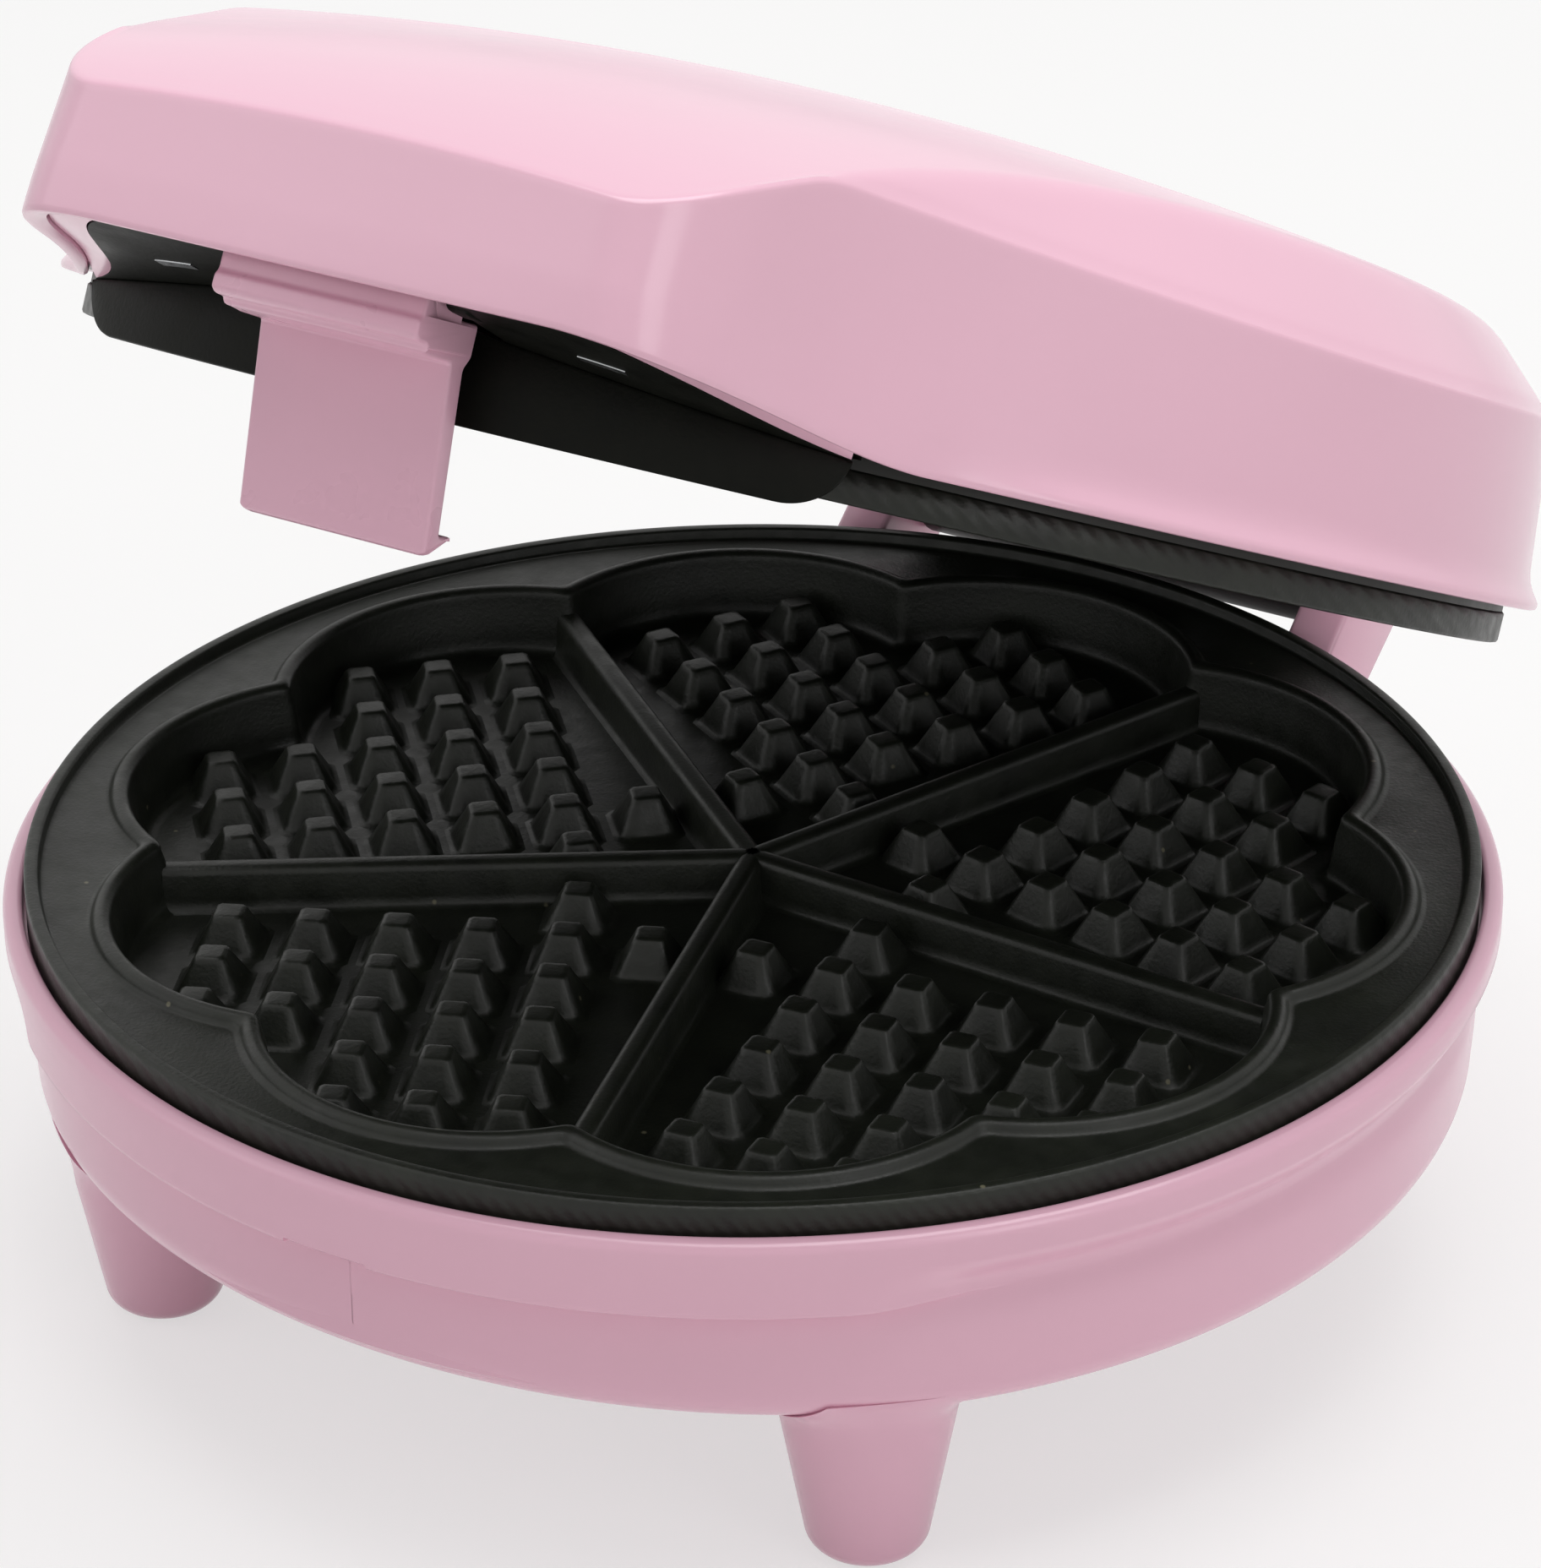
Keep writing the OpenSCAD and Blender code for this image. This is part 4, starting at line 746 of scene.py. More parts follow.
ear_line = np.concatenate([[(85.4, -23.3)], arc(HINGE_Y, HINGE_Z, EAR_R, -56, 135, 40), [(85.4, -4.6)]])
ears = [bar(ear_line, *x, 0.9) for x in ((-EAR_OUT, -EAR_IN), (EAR_IN, EAR_OUT))]
boss_ring = arc(0, BOSS_Z, BOSS_R, 0, 354, 59)
boss = np.array([[(x, y, z) for x, z in boss_ring] for y in (BOSS_IN, BOSS_OUT)])
inlet_boss = shell(boss, (0, BOSS_IN, BOSS_Z), (0, BOSS_OUT, BOSS_Z))
piece("base_moulding", join([bowl] + feet + ears + [inlet_boss]), "base", "pink_plastic_base",
      ["base_shell", "feet"], sharp=40)

# %% [markdown]
# ## Latch, guard and hinge block
# These are flat moulded parts. Each is an outline carried sideways, with its edges rounded so that
# they catch the light. The guard is a strip that follows the front of the plate. A shelf is folded
# from its top edge and climbs to the nose's inner wall, so no light shows behind the latch.

# %% The latch
LATCH_HALF, GRIP_SIDE, CORNER_R, CORNER_Z = 13.0, 0.9, 1.6, -14.7
PIN_Y, PIN_Z, LUG_R, LUG_IN = -109.5, 13.5, 3.0, 4.0

grip_front = [(-115.8, 12.6), (-115.9, 9.9), (-116.5, 9.3), (-116.6, 7.7), (-115.8, 7.1), (-114.0, 6.9),
              (-113.5, 6.1), (-111.8, 5.7), (-106.9, 5.4)]
hook = [(-103.2, -16.0), (-101.9, -16.3), (-98.6, -13.9), (-98.7, -13.6), (-101.1, -13.7)]
grip_back = [(-103.9, 5.0), (-102.8, 6.4), (-102.8, 10.2), (-111.4, 10.4), (-112.8, 12.6)]
latch_line = rounded(grip_front + hook + grip_back, 0.45, 5)
latch_bar = bar(latch_line, -LATCH_HALF, LATCH_HALF, 0.45)
v = latch_bar[0]
v[:, 0] *= 1 + (GRIP_SIDE / LATCH_HALF) * step(-112.9, -113.4, v[:, 1])  # the grip is a little wider
low = np.clip((CORNER_Z - v[:, 2]) / CORNER_R, 0, 1)
v[:, 0] *= 1 - (CORNER_R / LATCH_HALF) * (1 - np.sqrt(1 - low ** 2))  # and the lower corners are round
lug_foot = [[(PIN_Y - LUG_R, 9.4), (PIN_Y + LUG_R, 9.4)]]
lug_line = np.concatenate(lug_foot + [arc(PIN_Y, PIN_Z, LUG_R, 0, 180, 20)])
lugs = [bar(lug_line, *x, 0.3) for x in ((-LATCH_HALF, -LUG_IN), (LUG_IN, LATCH_HALF))]
piece("latch_lever", join([latch_bar] + lugs), "latch", "pink_plastic_latch", ["latch"], sharp=40)

# %% The hinge block
BLOCK_HALF, BARREL_R = 32.4, 7.9

under, top = [(97.4, 5.2), (98.7, 2.75)], [(94.0, 15.0), (88.8, 15.0), (88.8, 5.2)]
barrel = arc(HINGE_Y, HINGE_Z + NEST, BARREL_R, 180, 450, 60)[1:]
block_line = np.concatenate([under, barrel, top])
piece("hinge_block_moulding", bar(block_line, -BLOCK_HALF, BLOCK_HALF, 0.7), "lid", "black_plastic",
      ["hinge_block"], sharp=40)


# %% The guard's wall, round the plate's front, with rounded lower corners
GUARD_R, GUARD_T, GUARD_HALF, GUARD_LOW, GUARD_CORNER = 99.6, 1.6, 32.0, -1.3, 6.5
FOLD_Z, FOLD_FALL, SHELF_X, SHELF_FRONT, SHELF_T = 10.6, 0.106, 14.4, 116.3, 1.2


def guard_wall():
    """A thin wall on an arc. Its section is a rounded bar. Near both ends the lower edge climbs on a
    quarter circle; the top falls in a straight line to both sides, and the shelf is folded from it."""
    s = np.radians(np.linspace(-GUARD_HALF, GUARD_HALF, 221))
    x = GUARD_R * np.sin(s)
    u = np.clip(1 - (x.max() - np.abs(x)) / GUARD_CORNER, 0, 1)
    low = GUARD_LOW + GUARD_CORNER * (1 - np.sqrt(1 - u ** 2))
    top = FOLD_Z - FOLD_FALL * np.abs(x)
    low = np.minimum(low, top - 0.7)
    t = GUARD_T
    half_section = [(0, 0.5), (0.15, 0.15), (0.5, 0), (t - 0.5, 0), (t - 0.15, 0.15), (t, 0.5)]
    section = [(0, 0.5, low, 1)] + [(back, gap, top, -1) for back, gap in half_section]
    section += [(back, gap, low, 1) for back, gap in half_section[:0:-1]]
    rows = []
    for back, gap, edge, way in section:
        z = edge + way * np.minimum(gap, 0.3 * (top - low))
        rows.append([(GUARD_R - back) * np.sin(s), -(GUARD_R - back) * np.cos(s), z])
    grid = np.array(rows).transpose(2, 0, 1)
    return shell(grid, grid[0].mean(0), grid[-1].mean(0))


print("guard wall:", len(guard_wall()[0]), "points")


# %% The guard's shelf
SHELF_END_U = 0.27


def shelf_point(u, f, side, down=0.0):
    """A point under the shelf: u runs from beside the latch to the guard's end, f from the fold on the
    wall out to the lid's inner wall, where the shelf stands a little higher than the lid's lip."""
    s_in = np.degrees(np.arcsin(SHELF_X / GUARD_R)) * (1 - u) + (GUARD_HALF - 0.1) * u
    s_out = np.degrees(np.arcsin(SHELF_X / SHELF_FRONT)) * (1 - u) + (GUARD_HALF - 0.1) * u
    r_in = GUARD_R - 0.4 + 0 * u
    r_out = np.maximum(lid_outline(s_out, LID_R - 2, SHELL_T + 0.2), GUARD_R + 0.3)
    z_in = FOLD_Z - FOLD_FALL * r_in * np.sin(np.radians(s_in)) - 0.1
    z_out = lip_height(s_out) + 0.6
    (x0, y0), (x1, y1) = xy(s_in, r_in), xy(s_out, r_out)
    return np.stack([side * (x0 + (x1 - x0) * f), y0 + (y1 - y0) * f, z_in + (z_out - z_in) * f - down], -1)


def shelf_strip(side, u, f0, f1, down, thick):
    """A thin plate that follows the shelf, between two shares of its width at each share of its length."""
    share = np.linspace(0, 1, 9)
    section = [(f0 + (f1 - f0) * w, down) for w in share]
    section += [(f, d - thick) for f, d in section[::-1]]
    grid = np.array([shelf_point(u, f, side, d) for f, d in section]).transpose(1, 0, 2)
    return shell(grid, grid[0].mean(0), grid[-1].mean(0))


def black_edge(u):
    """How far out the black shelf reaches: to the lid's wall, then in a slanting line to the wall's end."""
    return np.clip((1.04 - u) / (1.04 - SHELF_END_U), 0, 1)


print("the black shelf reaches the lid's wall up to a share of", SHELF_END_U, "of its length")

# %% The guard in one piece, its clips, and the pink webs that close the nose beside its shelf
CLIP_F, CLIP_HALF_F = 0.32, 0.035
TAB_TURN, TAB_LOW, TAB_TOP = 19, 5.2, 10.45
PIN_EAR_IN, PIN_EAR_OUT = 13.8, 16.4

whole = np.linspace(0, 1, 81)
shelves = [shelf_strip(side, whole, 0 * whole, black_edge(whole), 0.0, SHELF_T) for side in (-1, 1)]
ear_bit = rounded([(-112.5, 11.2), (-106.0, 10.4), (-106.0, 16.1), (-112.5, 16.1)], 1.8)
pin_ears = [bar(ear_bit, *x, 0.3) for x in ((-PIN_EAR_OUT, -PIN_EAR_IN), (PIN_EAR_IN, PIN_EAR_OUT))]
tab = rounded([(-4, -98.6), (4, -98.6), (4, -88.6), (-4, -88.6)], 0.8)
tabs = []
for t in np.radians((-TAB_TURN, TAB_TURN)):
    turn = np.array([[math.cos(t), math.sin(t)], [-math.sin(t), math.cos(t)]])
    tabs.append(bar(tab @ turn, TAB_LOW, TAB_TOP, 0.3, "z"))
guard_parts = [guard_wall()] + shelves + pin_ears + tabs
piece("front_guard_moulding", join(guard_parts), "lid", "black_plastic", ["front_guard"], sharp=40)

at_clip = np.linspace(0.27, 0.40, 21)
clip_in, clip_out = CLIP_F - CLIP_HALF_F + 0 * at_clip, CLIP_F + CLIP_HALF_F + 0 * at_clip
clips = [shelf_strip(side, at_clip, clip_in, clip_out, 0.12, 0.5) for side in (-1, 1)]
piece("guard_clips", join(clips), "lid", "screw_steel", sharp=40)

beyond = np.linspace(SHELF_END_U + 0.01, 1, 41)
web_in, web_out = black_edge(beyond) + 0.012, 1 + 0 * beyond
webs = [shelf_strip(side, beyond, web_in, web_out, -0.1, SHELF_T) for side in (-1, 1)]
piece("nose_webs", join(webs), "lid", "pink_plastic_lid", sharp=40)

# %% [markdown]
# ## The cord inlet
# The mains cord would enter at the rear, through a black gland in a round boss. The bowl's wall is
# one closed surface, so a dark disc in the gland's bore is painted shade, standing for the hole behind it.

# %% Painted shade: a dark disc in the throat of the cord inlet
THROAT_R, THROAT_Y = 3.45, 96.9

ring = arc(0, BOSS_Z, THROAT_R, 0, 360, 48)[:-1]
throat = np.array([[(x, y, z) for x, z in ring] for y in (THROAT_Y, THROAT_Y + 0.4)])
disc = outward(shell(throat, throat[0].mean(0), throat[1].mean(0)))
piece("inlet_throat", disc, "base", "pad_rubber")

# %% [markdown]
# ## Finishes
# Every finish is a Principled shader with a few nodes in front of it. The patterns are measured in
# the object's own space, so a grain of 0.4 mm stays 0.4 mm. Colours are written as they look on a
# screen and turned into linear numbers by one function.

# %% Colour and node helpers
MM = 0.001  # one millimetre in the frame's metres


def linear(text, share=1.0):
    """#RRGGBB to linear light: c / 12.92 for dark values, else ((c + 0.055) / 1.055) ^ 2.4; then a
    share of it."""
    c = np.array([int(text[k:k + 2], 16) for k in (1, 3, 5)]) / 255
    light = np.where(c > 0.04045, ((c + 0.055) / 1.055) ** 2.4, c / 12.92)
    return (*(share * light).tolist(), 1.0)


def add(tree, kind, sockets=(), **settings):
    """Adds one node: settings by name, and each socket either a constant or another node's output."""
    node = tree.nodes.new("ShaderNode" + kind)
    for name, value in settings.items():
        setattr(node, name, value)
    for name, value in dict(sockets).items():
        if isinstance(value, bpy.types.NodeSocket):
            tree.links.new(value, node.inputs[name])
        else:
            node.inputs[name].default_value = value
    return node


def finish_named(name, **values):
    """A new material with its Principled shader set: returns the material, its tree and the shader."""
    material = bpy.data.materials.new(name)
    material.use_nodes = True
    shader = material.node_tree.nodes["Principled BSDF"]
    for key, value in values.items():
        shader.inputs[key.replace("_", " ")].default_value = value
    return material, material.node_tree, shader


def put(tree, shader, **outputs):
    """Links node outputs to the shader's sockets."""
    for key, value in outputs.items():
        tree.links.new(value, shader.inputs[key.replace("_", " ")])


print("middle grey in linear light:", round(linear("#808080")[0], 4))

# %% [markdown]
# ### What most finishes share
# Nearly all of them are made of the same few steps. A noise gives soft blobs of a chosen width. A
# ramp turns it into two close colours, a range turns it into a gloss, and a bump turns it into a
# relief. The noise mostly stays near its middle, so ramps and ranges use only that part of it.

# %% Noise, ramp, range, relief and arithmetic
def noise(tree, where, width, detail=2.0, roughness=0.5):
    """A noise with blobs of about a width in millimetres: the scale is one over the width."""
    sockets = {"Vector": where, "Scale": 1 / (width * MM), "Detail": detail, "Roughness": roughness}
    return add(tree, "TexNoise", sockets).outputs["Fac"]


def ramp(tree, value, ends, colours):
    """The first colour below the first end, the second above the other, and a blend between them."""
    node = add(tree, "ValToRGB", {"Fac": value})
    for element, end, colour in zip(node.color_ramp.elements, ends, colours):
        element.position, element.color = end, colour
    return node.outputs["Color"]


def spread(tree, value, ends, results):
    """Carries a value from one range to another in a straight line, and holds it at both ends."""
    sockets = {"Value": value, "From Min": ends[0], "From Max": ends[1]}
    sockets |= {"To Min": results[0], "To Max": results[1]}
    return add(tree, "MapRange", sockets).outputs["Result"]


def relief(tree, height, strength, depth, over=None):
    """A bump of a depth in millimetres, laid over another bump where one is given."""
    sockets = {"Height": height, "Strength": strength, "Distance": depth * MM}
    if over:
        sockets["Normal"] = over
    return add(tree, "Bump", sockets).outputs["Normal"]


def maths(tree, operation, a, b):
    """One arithmetic step on two numbers."""
    return add(tree, "Math", {0: a, 1: b}, operation=operation).outputs[0]


print("a noise 14 mm wide has a scale of", round(1 / (14 * MM), 1))

# %% [markdown]
# ### Pink moulded plastic
# The mouldings are gloss ABS. A real moulding isn't a perfect mirror: it has a slow waviness where
# the plastic shrank, a fine grain from the tool, and its gloss varies a little from place to place.

# %% Pink ABS for the lid, base and latch
def pink_abs(name, colour, gloss):
    """One pink with slow patches a shade deeper, a gloss that wanders, and waves under a fine grain."""
    material, tree, shader = finish_named(name, Roughness=gloss, IOR=1.54)
    here = add(tree, "TexCoord").outputs["Object"]
    # Colour: the same pink, a shade deeper in slow patches 70 mm wide.
    patch = noise(tree, here, 70, 2.0, 0.45)
    tone = ramp(tree, patch, (0.32, 0.68), (linear(colour, 0.955), linear(colour)))
    # Gloss: a little duller where hands and the tool's polish left it so, in patches of 18 mm.
    wear = noise(tree, here, 18, 4.0, 0.6)
    rough = spread(tree, wear, (0.3, 0.72), (gloss - 0.035, gloss + 0.05))
    # Relief: shrink waves 14 mm long, then the tool's grain of 0.5 mm.
    waves = relief(tree, noise(tree, here, 14, 1.0), 0.12, 0.10)
    grains = relief(tree, noise(tree, here, 0.5), 0.20, 0.02, waves)
    put(tree, shader, Base_Color=tone, Roughness=rough, Normal=grains)
    print(name, "has", len(tree.nodes), "nodes")
    return material


# The base and the latch are the same pink ABS as the lid; their colours are written a little darker as
# painted shade, since they get less light than the lid's top.
lid_pink = pink_abs("pink_gloss_abs_lid", "#F1BFD3", 0.17)
base_pink_painted_shade = pink_abs("pink_gloss_abs_base_painted_shade", "#EAB8CC", 0.20)
latch_pink_painted_shade = pink_abs("pink_gloss_abs_latch_painted_shade", "#E6B4C8", 0.28)

# %% [markdown]
# ### Non-stick coating on cast aluminium
# The coating is sprayed, so it has an orange-peel relief about half a millimetre wide and a dull
# sheen. Pale mineral specks are thrown over it. They come from cells about 4 mm wide, of which only
# a few carry a speck. The plate's side is left with fine slanting marks of the turning tool.

# %% Coated plate
def coated_aluminium():
    """Near-black in two tones with pale specks, a sheen that wanders, a sprayed relief, and tool marks
    times an attribute that is 1 on the side and 0 elsewhere."""
    material, tree, shader = finish_named("nonstick_coated_aluminium", IOR=1.38)
    here = add(tree, "TexCoord").outputs["Object"]
    # Colour: warm near-black, slightly mottled, then the specks. Every cell has a chance number; a
    # cell above 0.80 shows a speck, where the distance from its middle is small.
    mottle = noise(tree, here, 9, 5.0, 0.65)
    coat = ramp(tree, mottle, (0.3, 0.72), (linear("#161814"), linear("#23261F")))
    cells = add(tree, "TexVoronoi", {"Vector": here, "Scale": 1 / (4.2 * MM)}, feature="F1")
    near = spread(tree, cells.outputs["Distance"], (0.055, 0.10), (1.0, 0.0))
    chosen = maths(tree, "GREATER_THAN", cells.outputs["Color"], 0.80)
    speck = maths(tree, "MULTIPLY", near, chosen)
    two_colours = {"Factor": speck, 6: coat, 7: linear("#6E6B58")}  # sockets 6 and 7 take colours
    colour = add(tree, "Mix", two_colours, data_type="RGBA").outputs[2]
    # Gloss: patches of 3 mm, some duller than others.
    sheen = noise(tree, here, 3, 4.0, 0.6)
    rough = spread(tree, sheen, (0.3, 0.7), (0.33, 0.47))
    # Relief: the sprayed coat, and on the side band the slanting tool marks, 0.7 mm apart.
    sprayed = relief(tree, noise(tree, here, 0.55), 0.55, 0.07)
    side = add(tree, "Attribute", attribute_name="turned_side").outputs["Fac"]
    lines = {"Vector": here, "Scale": 1 / (4.4 * MM), "Distortion": 1.2, "Detail": 2.0}
    marks = add(tree, "TexWave", lines, bands_direction="DIAGONAL").outputs["Fac"]
    marked = relief(tree, maths(tree, "MULTIPLY", marks, side), 0.5, 0.10, sprayed)
    put(tree, shader, Base_Color=colour, Roughness=rough, Normal=marked)
    return material


coated = coated_aluminium()
print(coated.name, "has", len(coated.node_tree.nodes), "nodes")


# %% Mark the turned side of both plates for the shader
def mark_side(plate, centre, axis, radius):
    """1 where a point's distance from the axis, which is what remains of it after its part along the
    axis is taken away, is the plate's full radius, else 0."""
    points = np.empty(len(plate.data.vertices) * 3, np.float32)
    plate.data.vertices.foreach_get("co", points)
    rel = points.reshape(-1, 3) - centre
    off = rel - (rel @ axis)[:, None] * axis
    on_side = np.linalg.norm(off, axis=1) > (radius - 0.1) * MM
    layer = plate.data.attributes.new("turned_side", "FLOAT", "POINT")
    layer.data.foreach_set("value", on_side.astype(np.float32))
    print(plate.name, "has a turned side of", int(on_side.sum()), "points")


upper_middle = lid_place((0, 0, 0))
upper_axis = lid_place((0, 0, 1)) - upper_middle
upper_axis /= np.linalg.norm(upper_axis)
mark_side(lower_plate, base_place((0, 0, 0)), np.array([0, 0, 1]), PLATE_R)
mark_side(upper_plate, upper_middle, upper_axis, UPPER_R)

# %% [markdown]
# ### Black plastic, rubber and the small metal parts
# The black mouldings have a spark-eroded grain, which is a noise of 0.6 mm. The metals differ by
# colour and roughness, and by how each was made: where a metal was rolled, ground, drawn or turned,
# its noise is drawn out into streaks along that direction.

# %% Textured black plastic, rubber and other dull materials
def dull(name, colours, rough, grain, depth, patch=6.0, **values):
    """A dull material of two close colours in patches, with a grain: sizes and depth in mm."""
    material, tree, shader = finish_named(name, **values)
    here = add(tree, "TexCoord").outputs["Object"]
    patches = noise(tree, here, patch, 4.0, 0.6)
    tone = ramp(tree, patches, (0.3, 0.7), [linear(text) for text in colours])
    gloss = spread(tree, patches, (0.3, 0.7), (rough - 0.05, rough + 0.06))
    normal = relief(tree, noise(tree, here, grain, 3.0), 0.7, depth)
    put(tree, shader, Base_Color=tone, Roughness=gloss, Normal=normal)
    print(name, "has patches of", patch, "mm and a grain of", grain, "mm")
    return material


black = dull("black_spark_eroded_plastic", ("#0E0F0C", "#161713"), 0.46, 0.6, 0.05,
             IOR=1.46, Specular_IOR_Level=0.10)
rubber = dull("moulded_black_rubber", ("#242423", "#2E2D2B"), 0.78, 0.9, 0.06, IOR=1.5)
silicone = dull("silicone_wire_sleeve", ("#C9C6BE", "#D8D5CD"), 0.55, 1.2, 0.03, IOR=1.43)
steatite = dull("glazed_steatite_ceramic", ("#DCD7CB", "#E8E4DA"), 0.24, 1.5, 0.03, IOR=1.6)
terminal = dull("unglazed_terminal_ceramic", ("#D2CCBE", "#E0DACD"), 0.62, 0.7, 0.05, IOR=1.55)
# The lid's frame is steel; it is coloured near-black here as painted shade, for the shaded gap between the
# lid's lip and the plate.
painted = dull("steel_frame_painted_shade_black", ("#191A17", "#22231F"), 0.45, 1.1, 0.04, patch=9.0, IOR=1.42)
laminate = dull("green_glass_epoxy_board", ("#2F5A3C", "#3B6B48"), 0.36, 0.8, 0.02, IOR=1.5)


# %% Metals: one noise each, in streaks where the metal was worked in one direction
def metal(name, colour, rough, size, stretch=(1, 1, 1), depth=0.02):
    """A metal whose tone and gloss follow the brightness of one coloured noise of a size in mm. The
    point is multiplied by the stretch first, so a small number draws the noise out along that axis."""
    material, tree, shader = finish_named(name, Metallic=1.0)
    here = add(tree, "TexCoord").outputs["Object"]
    laid = add(tree, "Mapping", {"Vector": here, "Scale": stretch}).outputs["Vector"]
    pattern = add(tree, "TexNoise", {"Vector": laid, "Scale": 1 / (size * MM)}).outputs["Color"]
    value = add(tree, "RGBToBW", {"Color": pattern}).outputs["Val"]
    tone = ramp(tree, value, (0.25, 0.75), (linear(colour, 0.82), linear(colour)))
    gloss = spread(tree, value, (0.25, 0.75), (rough - 0.06, rough + 0.08))
    normal = relief(tree, noise(tree, laid, 0.5, 3.0), 0.5, depth)
    put(tree, shader, Base_Color=tone, Roughness=gloss, Normal=normal)
    print(name, "has a noise of", size, "mm")
    return material


aluminised = metal("aluminised_reflector_steel", "#C8CACB", 0.26, 3.0, (1, 0.05, 1))
zinc = metal("zinc_plated_screw_steel", "#BDC0C2", 0.30, 0.8)
ground = metal("ground_pin_steel", "#BFC1C3", 0.20, 0.6, (0.1, 1, 1))
spring_wire = metal("drawn_spring_wire", "#A9ABAC", 0.30, 0.5, (0.2, 1, 1))
heater = metal("oxidised_heater_tube", "#7F8180", 0.48, 2.5)
brass = metal("turned_fuse_brass", "#C9AE6A", 0.28, 0.8, (0.2, 1, 1))


# %% Red lamp lenses
def red_lens():
    """Red clear plastic with facets moulded inside: each cell is brighter and hollow at its middle."""
    material, tree, shader = finish_named("red_clear_acrylic", Roughness=0.12, IOR=1.49)
    here = add(tree, "TexCoord").outputs["Object"]
    facets = add(tree, "TexVoronoi", {"Vector": here, "Scale": 1 / (0.9 * MM)}, feature="F1")
    off = facets.outputs["Distance"]
    glow = ramp(tree, off, (0, 1), (linear("#D22A20"), linear("#8E1210")))
    put(tree, shader, Base_Color=glow, Normal=relief(tree, off, 0.3, 0.05))
    return material


lens = red_lens()
print(lens.name, "has", len(lens.node_tree.nodes), "nodes")

# %% Give every piece its finish
finishes = {
    "pink_plastic_base": base_pink_painted_shade, "pink_plastic_lid": lid_pink, "pink_plastic_latch": latch_pink_painted_shade,
    "coated_aluminium": coated, "black_plastic": black, "pad_rubber": rubber, "element_steel": heater,
    "sheet_steel": aluminised, "frame_steel": painted, "screw_steel": zinc, "pin_steel": ground,
    "spring_steel": spring_wire, "fuse_brass": brass, "thermostat_ceramic": steatite,
    "terminal_ceramic": terminal, "wire_rubber": silicone, "lens_plastic": lens, "board_laminate": laminate}
slot_of = {entry["node"]: entry["material_slot"] for entry in frame["record"]["subparts"]}
for name, node in nodes.items():
    node.data.materials.clear()
    node.data.materials.append(finishes[slot_of[name]])
drawn = [obj for obj in bpy.data.objects if obj.get("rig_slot") and obj.name not in nodes]
for obj in drawn:
    obj.data.materials.append(finishes[obj["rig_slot"]])
print("finishes given to", len(nodes), "construction parts and", len(drawn), "drawn pieces")

# %% [markdown]
# ## Camera, floor and light
# The camera looks down on the front right of the machine, as if from across a worktop. The floor is
# pale and keeps a soft shadow. Large soft lamps light the machine from above and from both sides.

# %% Camera
AZIMUTH, ELEVATION, ROLL = math.radians(31.8), math.radians(27.386), math.radians(-0.49)
DISTANCE, LIFT = 721.335, 5.51  # millimetres from the middle of the lower plate
PICTURE, FOCAL, ASIDE = 1856, 6510.187, 21.93  # the picture's height, focal length and shift, in pixels
SENSOR = 36

flat = math.cos(ELEVATION)
back = np.array([math.sin(AZIMUTH) * flat, -math.cos(AZIMUTH) * flat, math.sin(ELEVATION)])
right = np.array([math.cos(AZIMUTH), math.sin(AZIMUTH), 0])
up = np.cross(back, right)
turned_right = math.cos(ROLL) * right + math.sin(ROLL) * up
turned_up = -math.sin(ROLL) * right + math.cos(ROLL) * up
place = base_place(back * DISTANCE + up * LIFT)
camera_data = bpy.data.cameras.new("camera")
camera = bpy.data.objects.new("camera", camera_data)
bpy.context.scene.collection.objects.link(camera)
axes = np.stack([turned_right, turned_up, back, place], -1).tolist()
camera.matrix_world = Matrix(axes + [[0, 0, 0, 1]])
camera_data.sensor_width = SENSOR
camera_data.lens = FOCAL / PICTURE * SENSOR
camera_data.shift_x = ASIDE / PICTURE
camera_data.shift_y = -0.0003
camera_data.clip_end = 20
bpy.context.scene.camera = camera
print("camera at", np.round(place, 3), "with a lens of", round(camera_data.lens, 1), "mm")


# %% Floor: matt white paper, kept pale where it is looked at
def looked_at(tree):
    """1 for a ray that comes from the camera, a mirror or a clear piece, 0 for one that gathers light."""
    rays = add(tree, "LightPath").outputs
    sent_on = maths(tree, "MAXIMUM", rays["Is Glossy Ray"], rays["Is Transmission Ray"])
    return maths(tree, "MAXIMUM", rays["Is Camera Ray"], sent_on)


FLOOR_HALF, GLOW_SHARE = 4, 0.6

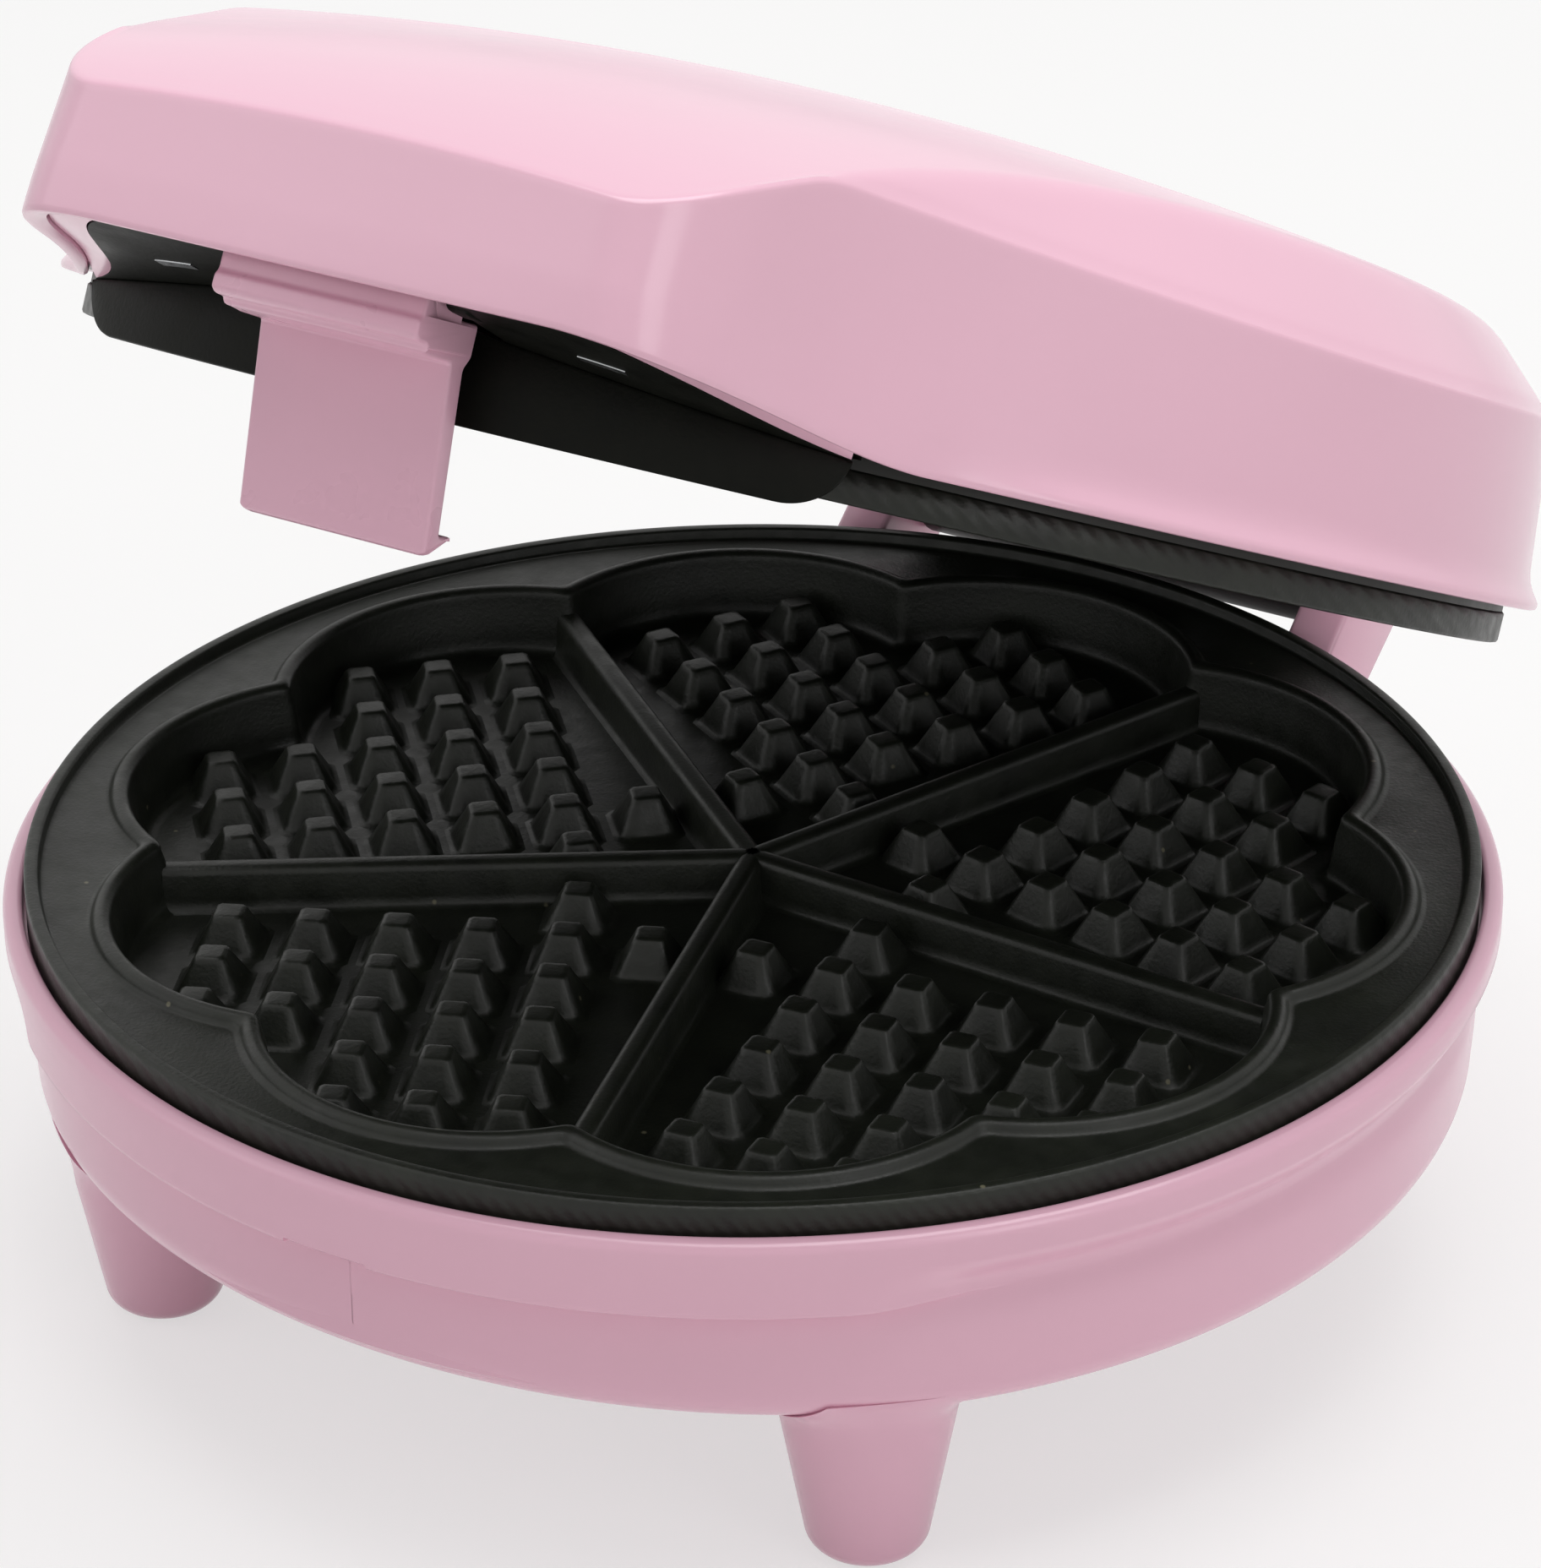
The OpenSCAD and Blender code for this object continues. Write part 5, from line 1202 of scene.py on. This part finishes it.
floor_mesh = bpy.data.meshes.new("floor")
around = ((-1, -1), (1, -1), (1, 1), (-1, 1))
floor_mesh.from_pydata([(x * FLOOR_HALF, y * FLOOR_HALF, 0) for x, y in around], [], [(0, 1, 2, 3)])
floor = bpy.data.objects.new("floor", floor_mesh)
bpy.context.scene.collection.objects.link(floor)
paper, paper_tree, paper_shader = finish_named(
    "matt_white_paper_floor", Roughness=0.75, Base_Color=linear("#F4F3F2"))
share = maths(paper_tree, "MULTIPLY", looked_at(paper_tree), GLOW_SHARE)
glow = add(paper_tree, "Emission", {"Color": (1, 1, 1, 1), "Strength": 1.0})
lit = add(paper_tree, "MixShader", {"Fac": share, 1: paper_shader.outputs[0], 2: glow.outputs[0]})
paper_tree.links.new(lit.outputs[0], paper_tree.nodes["Material Output"].inputs["Surface"])
floor_mesh.materials.append(paper)
print("floor:", 2 * FLOOR_HALF, "m wide")

# %% World: a pale room that looks brighter than the light it gives
ROOM_LIGHT, ROOM_LOOK = 0.36, 1.0

world = bpy.data.worlds.new("pale_room")
world.use_nodes = True
room = world.node_tree
sky = room.nodes["Background"]
strength = spread(room, looked_at(room), (0, 1), (ROOM_LIGHT, ROOM_LOOK))
room.links.new(strength, sky.inputs["Strength"])
sky.inputs["Color"].default_value = linear("#FBFAF9")
bpy.context.scene.world = world
print("room: strength", ROOM_LIGHT, "as light and", ROOM_LOOK, "as seen")


# %% Lamps: one large soft box overhead and a window on each side
def soft_box(name, place, size, watts):
    """A rectangular lamp that looks at the machine: its -Z axis lies along target minus place."""
    lamp = bpy.data.lights.new(name, "AREA")
    lamp.shape, lamp.size, lamp.size_y, lamp.energy = "RECTANGLE", size[0], size[1], watts
    obj = bpy.data.objects.new(name, lamp)
    bpy.context.scene.collection.objects.link(obj)
    obj.location = place
    obj.rotation_euler = (Vector((0, 0, 0.08)) - Vector(place)).to_track_quat("-Z", "Y").to_euler()
    print(name, "lamp:", size[0], "x", size[1], "m,", watts, "W")


soft_box("overhead", (0.1, 0.15, 1.5), (1.3, 1.3), 16.5)
soft_box("left_window", (-1.1, -0.9, 0.9), (0.8, 0.9), 1.6)
soft_box("right_window", (1.3, -0.5, 0.8), (0.45, 0.9), 2.2)
bpy.context.scene.view_settings.view_transform = "Standard"
